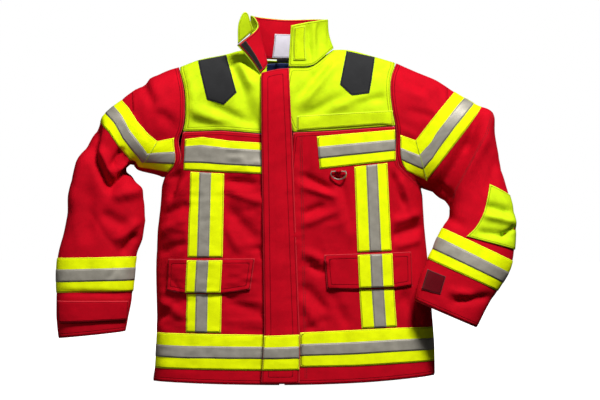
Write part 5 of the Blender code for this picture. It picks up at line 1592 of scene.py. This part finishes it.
def finish_metals():
    """Ring, slider and pull keep their solids and get worn metal."""
    ring = metal("ring_metal", (0.62, 0.58, 0.50), 0.32)
    steel = metal("slider_metal", (0.32, 0.31, 0.30), 0.38)
    for name, made in (("d_ring", ring), ("zip_slider", steel), ("zip_pull", steel)):
        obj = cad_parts[name]
        for slot in obj.material_slots:
            slot.material = made


# Camera, lights and floor


def aim(obj, target):
    way = target - obj.location
    obj.rotation_euler = way.to_track_quat("-Z", "Y").to_euler()


def light(name, energy, size, place, target):
    lamp = bpy.data.lights.new(name, "AREA")
    lamp.energy, lamp.shape = energy, "RECTANGLE"
    lamp.size, lamp.size_y = size
    obj = linked(name, lamp)
    obj.location = place
    aim(obj, type(obj.location)(target))


def make_camera():
    camera = bpy.data.cameras.new("camera")
    camera.lens, camera.sensor_width, camera.clip_end = CAMERA_LENS, 36.0, 30.0
    obj = linked("camera", camera)
    obj.location = CAMERA_PLACE
    obj.rotation_euler = (math.pi / 2, 0, 0)
    bpy.context.scene.camera = obj


def make_world():
    """White to the camera, but a weak light, so that the lamps shape the folds."""
    world = bpy.data.worlds.new("studio")
    world.use_nodes = True
    tree = world.node_tree
    seen = tree.nodes.new("ShaderNodeLightPath")
    strength = tree.nodes.new("ShaderNodeMapRange")
    strength.inputs["To Min"].default_value = 0.05
    strength.inputs["To Max"].default_value = 1.0
    tree.links.new(seen.outputs["Is Camera Ray"], strength.inputs["Value"])
    tree.links.new(strength.outputs[0], tree.nodes["Background"].inputs["Strength"])
    tree.nodes["Background"].inputs["Color"].default_value = (1, 1, 1, 1)
    bpy.context.scene.world = world


def make_floor():
    pale, _, _, _ = shader("pale_floor", 0.9)
    main = pale.node_tree.nodes["Principled BSDF"]
    main.inputs["Base Color"].default_value = (0.9, 0.9, 0.9, 1)
    main.inputs["Emission Color"].default_value = (1, 1, 1, 1)
    main.inputs["Emission Strength"].default_value = 1.0
    corners = [(x * FLOOR_HALF, y * FLOOR_HALF, FLOOR_Z) for x, y in ((-1, -1), (1, -1), (1, 1), (-1, 1))]
    floor = mesh_object("floor", corners, [(0, 1, 2, 3)], pale, False)
    floor.visible_diffuse = floor.visible_glossy = False


def make_studio():
    make_camera()
    make_world()
    light("key", 425, (1.4, 0.8), (1.25, -3.0, 3.75), LIT_POINT)
    light("fill", 16, (1.4, 1.4), (-2.6, -2.2, 0.4), LIT_POINT)
    make_floor()
    bpy.context.scene.view_settings.view_transform = "Standard"


make_yokes()
make_panels()
make_bands()
make_yoke_trims()
make_pockets()
make_ring_tab()
make_collar()
make_hanger_loop()
make_zip()
make_storm_flap()
make_liner()
make_sleeves()
make_sleeve_trims()
finish_metals()
make_seams()
sew_all()
make_studio()
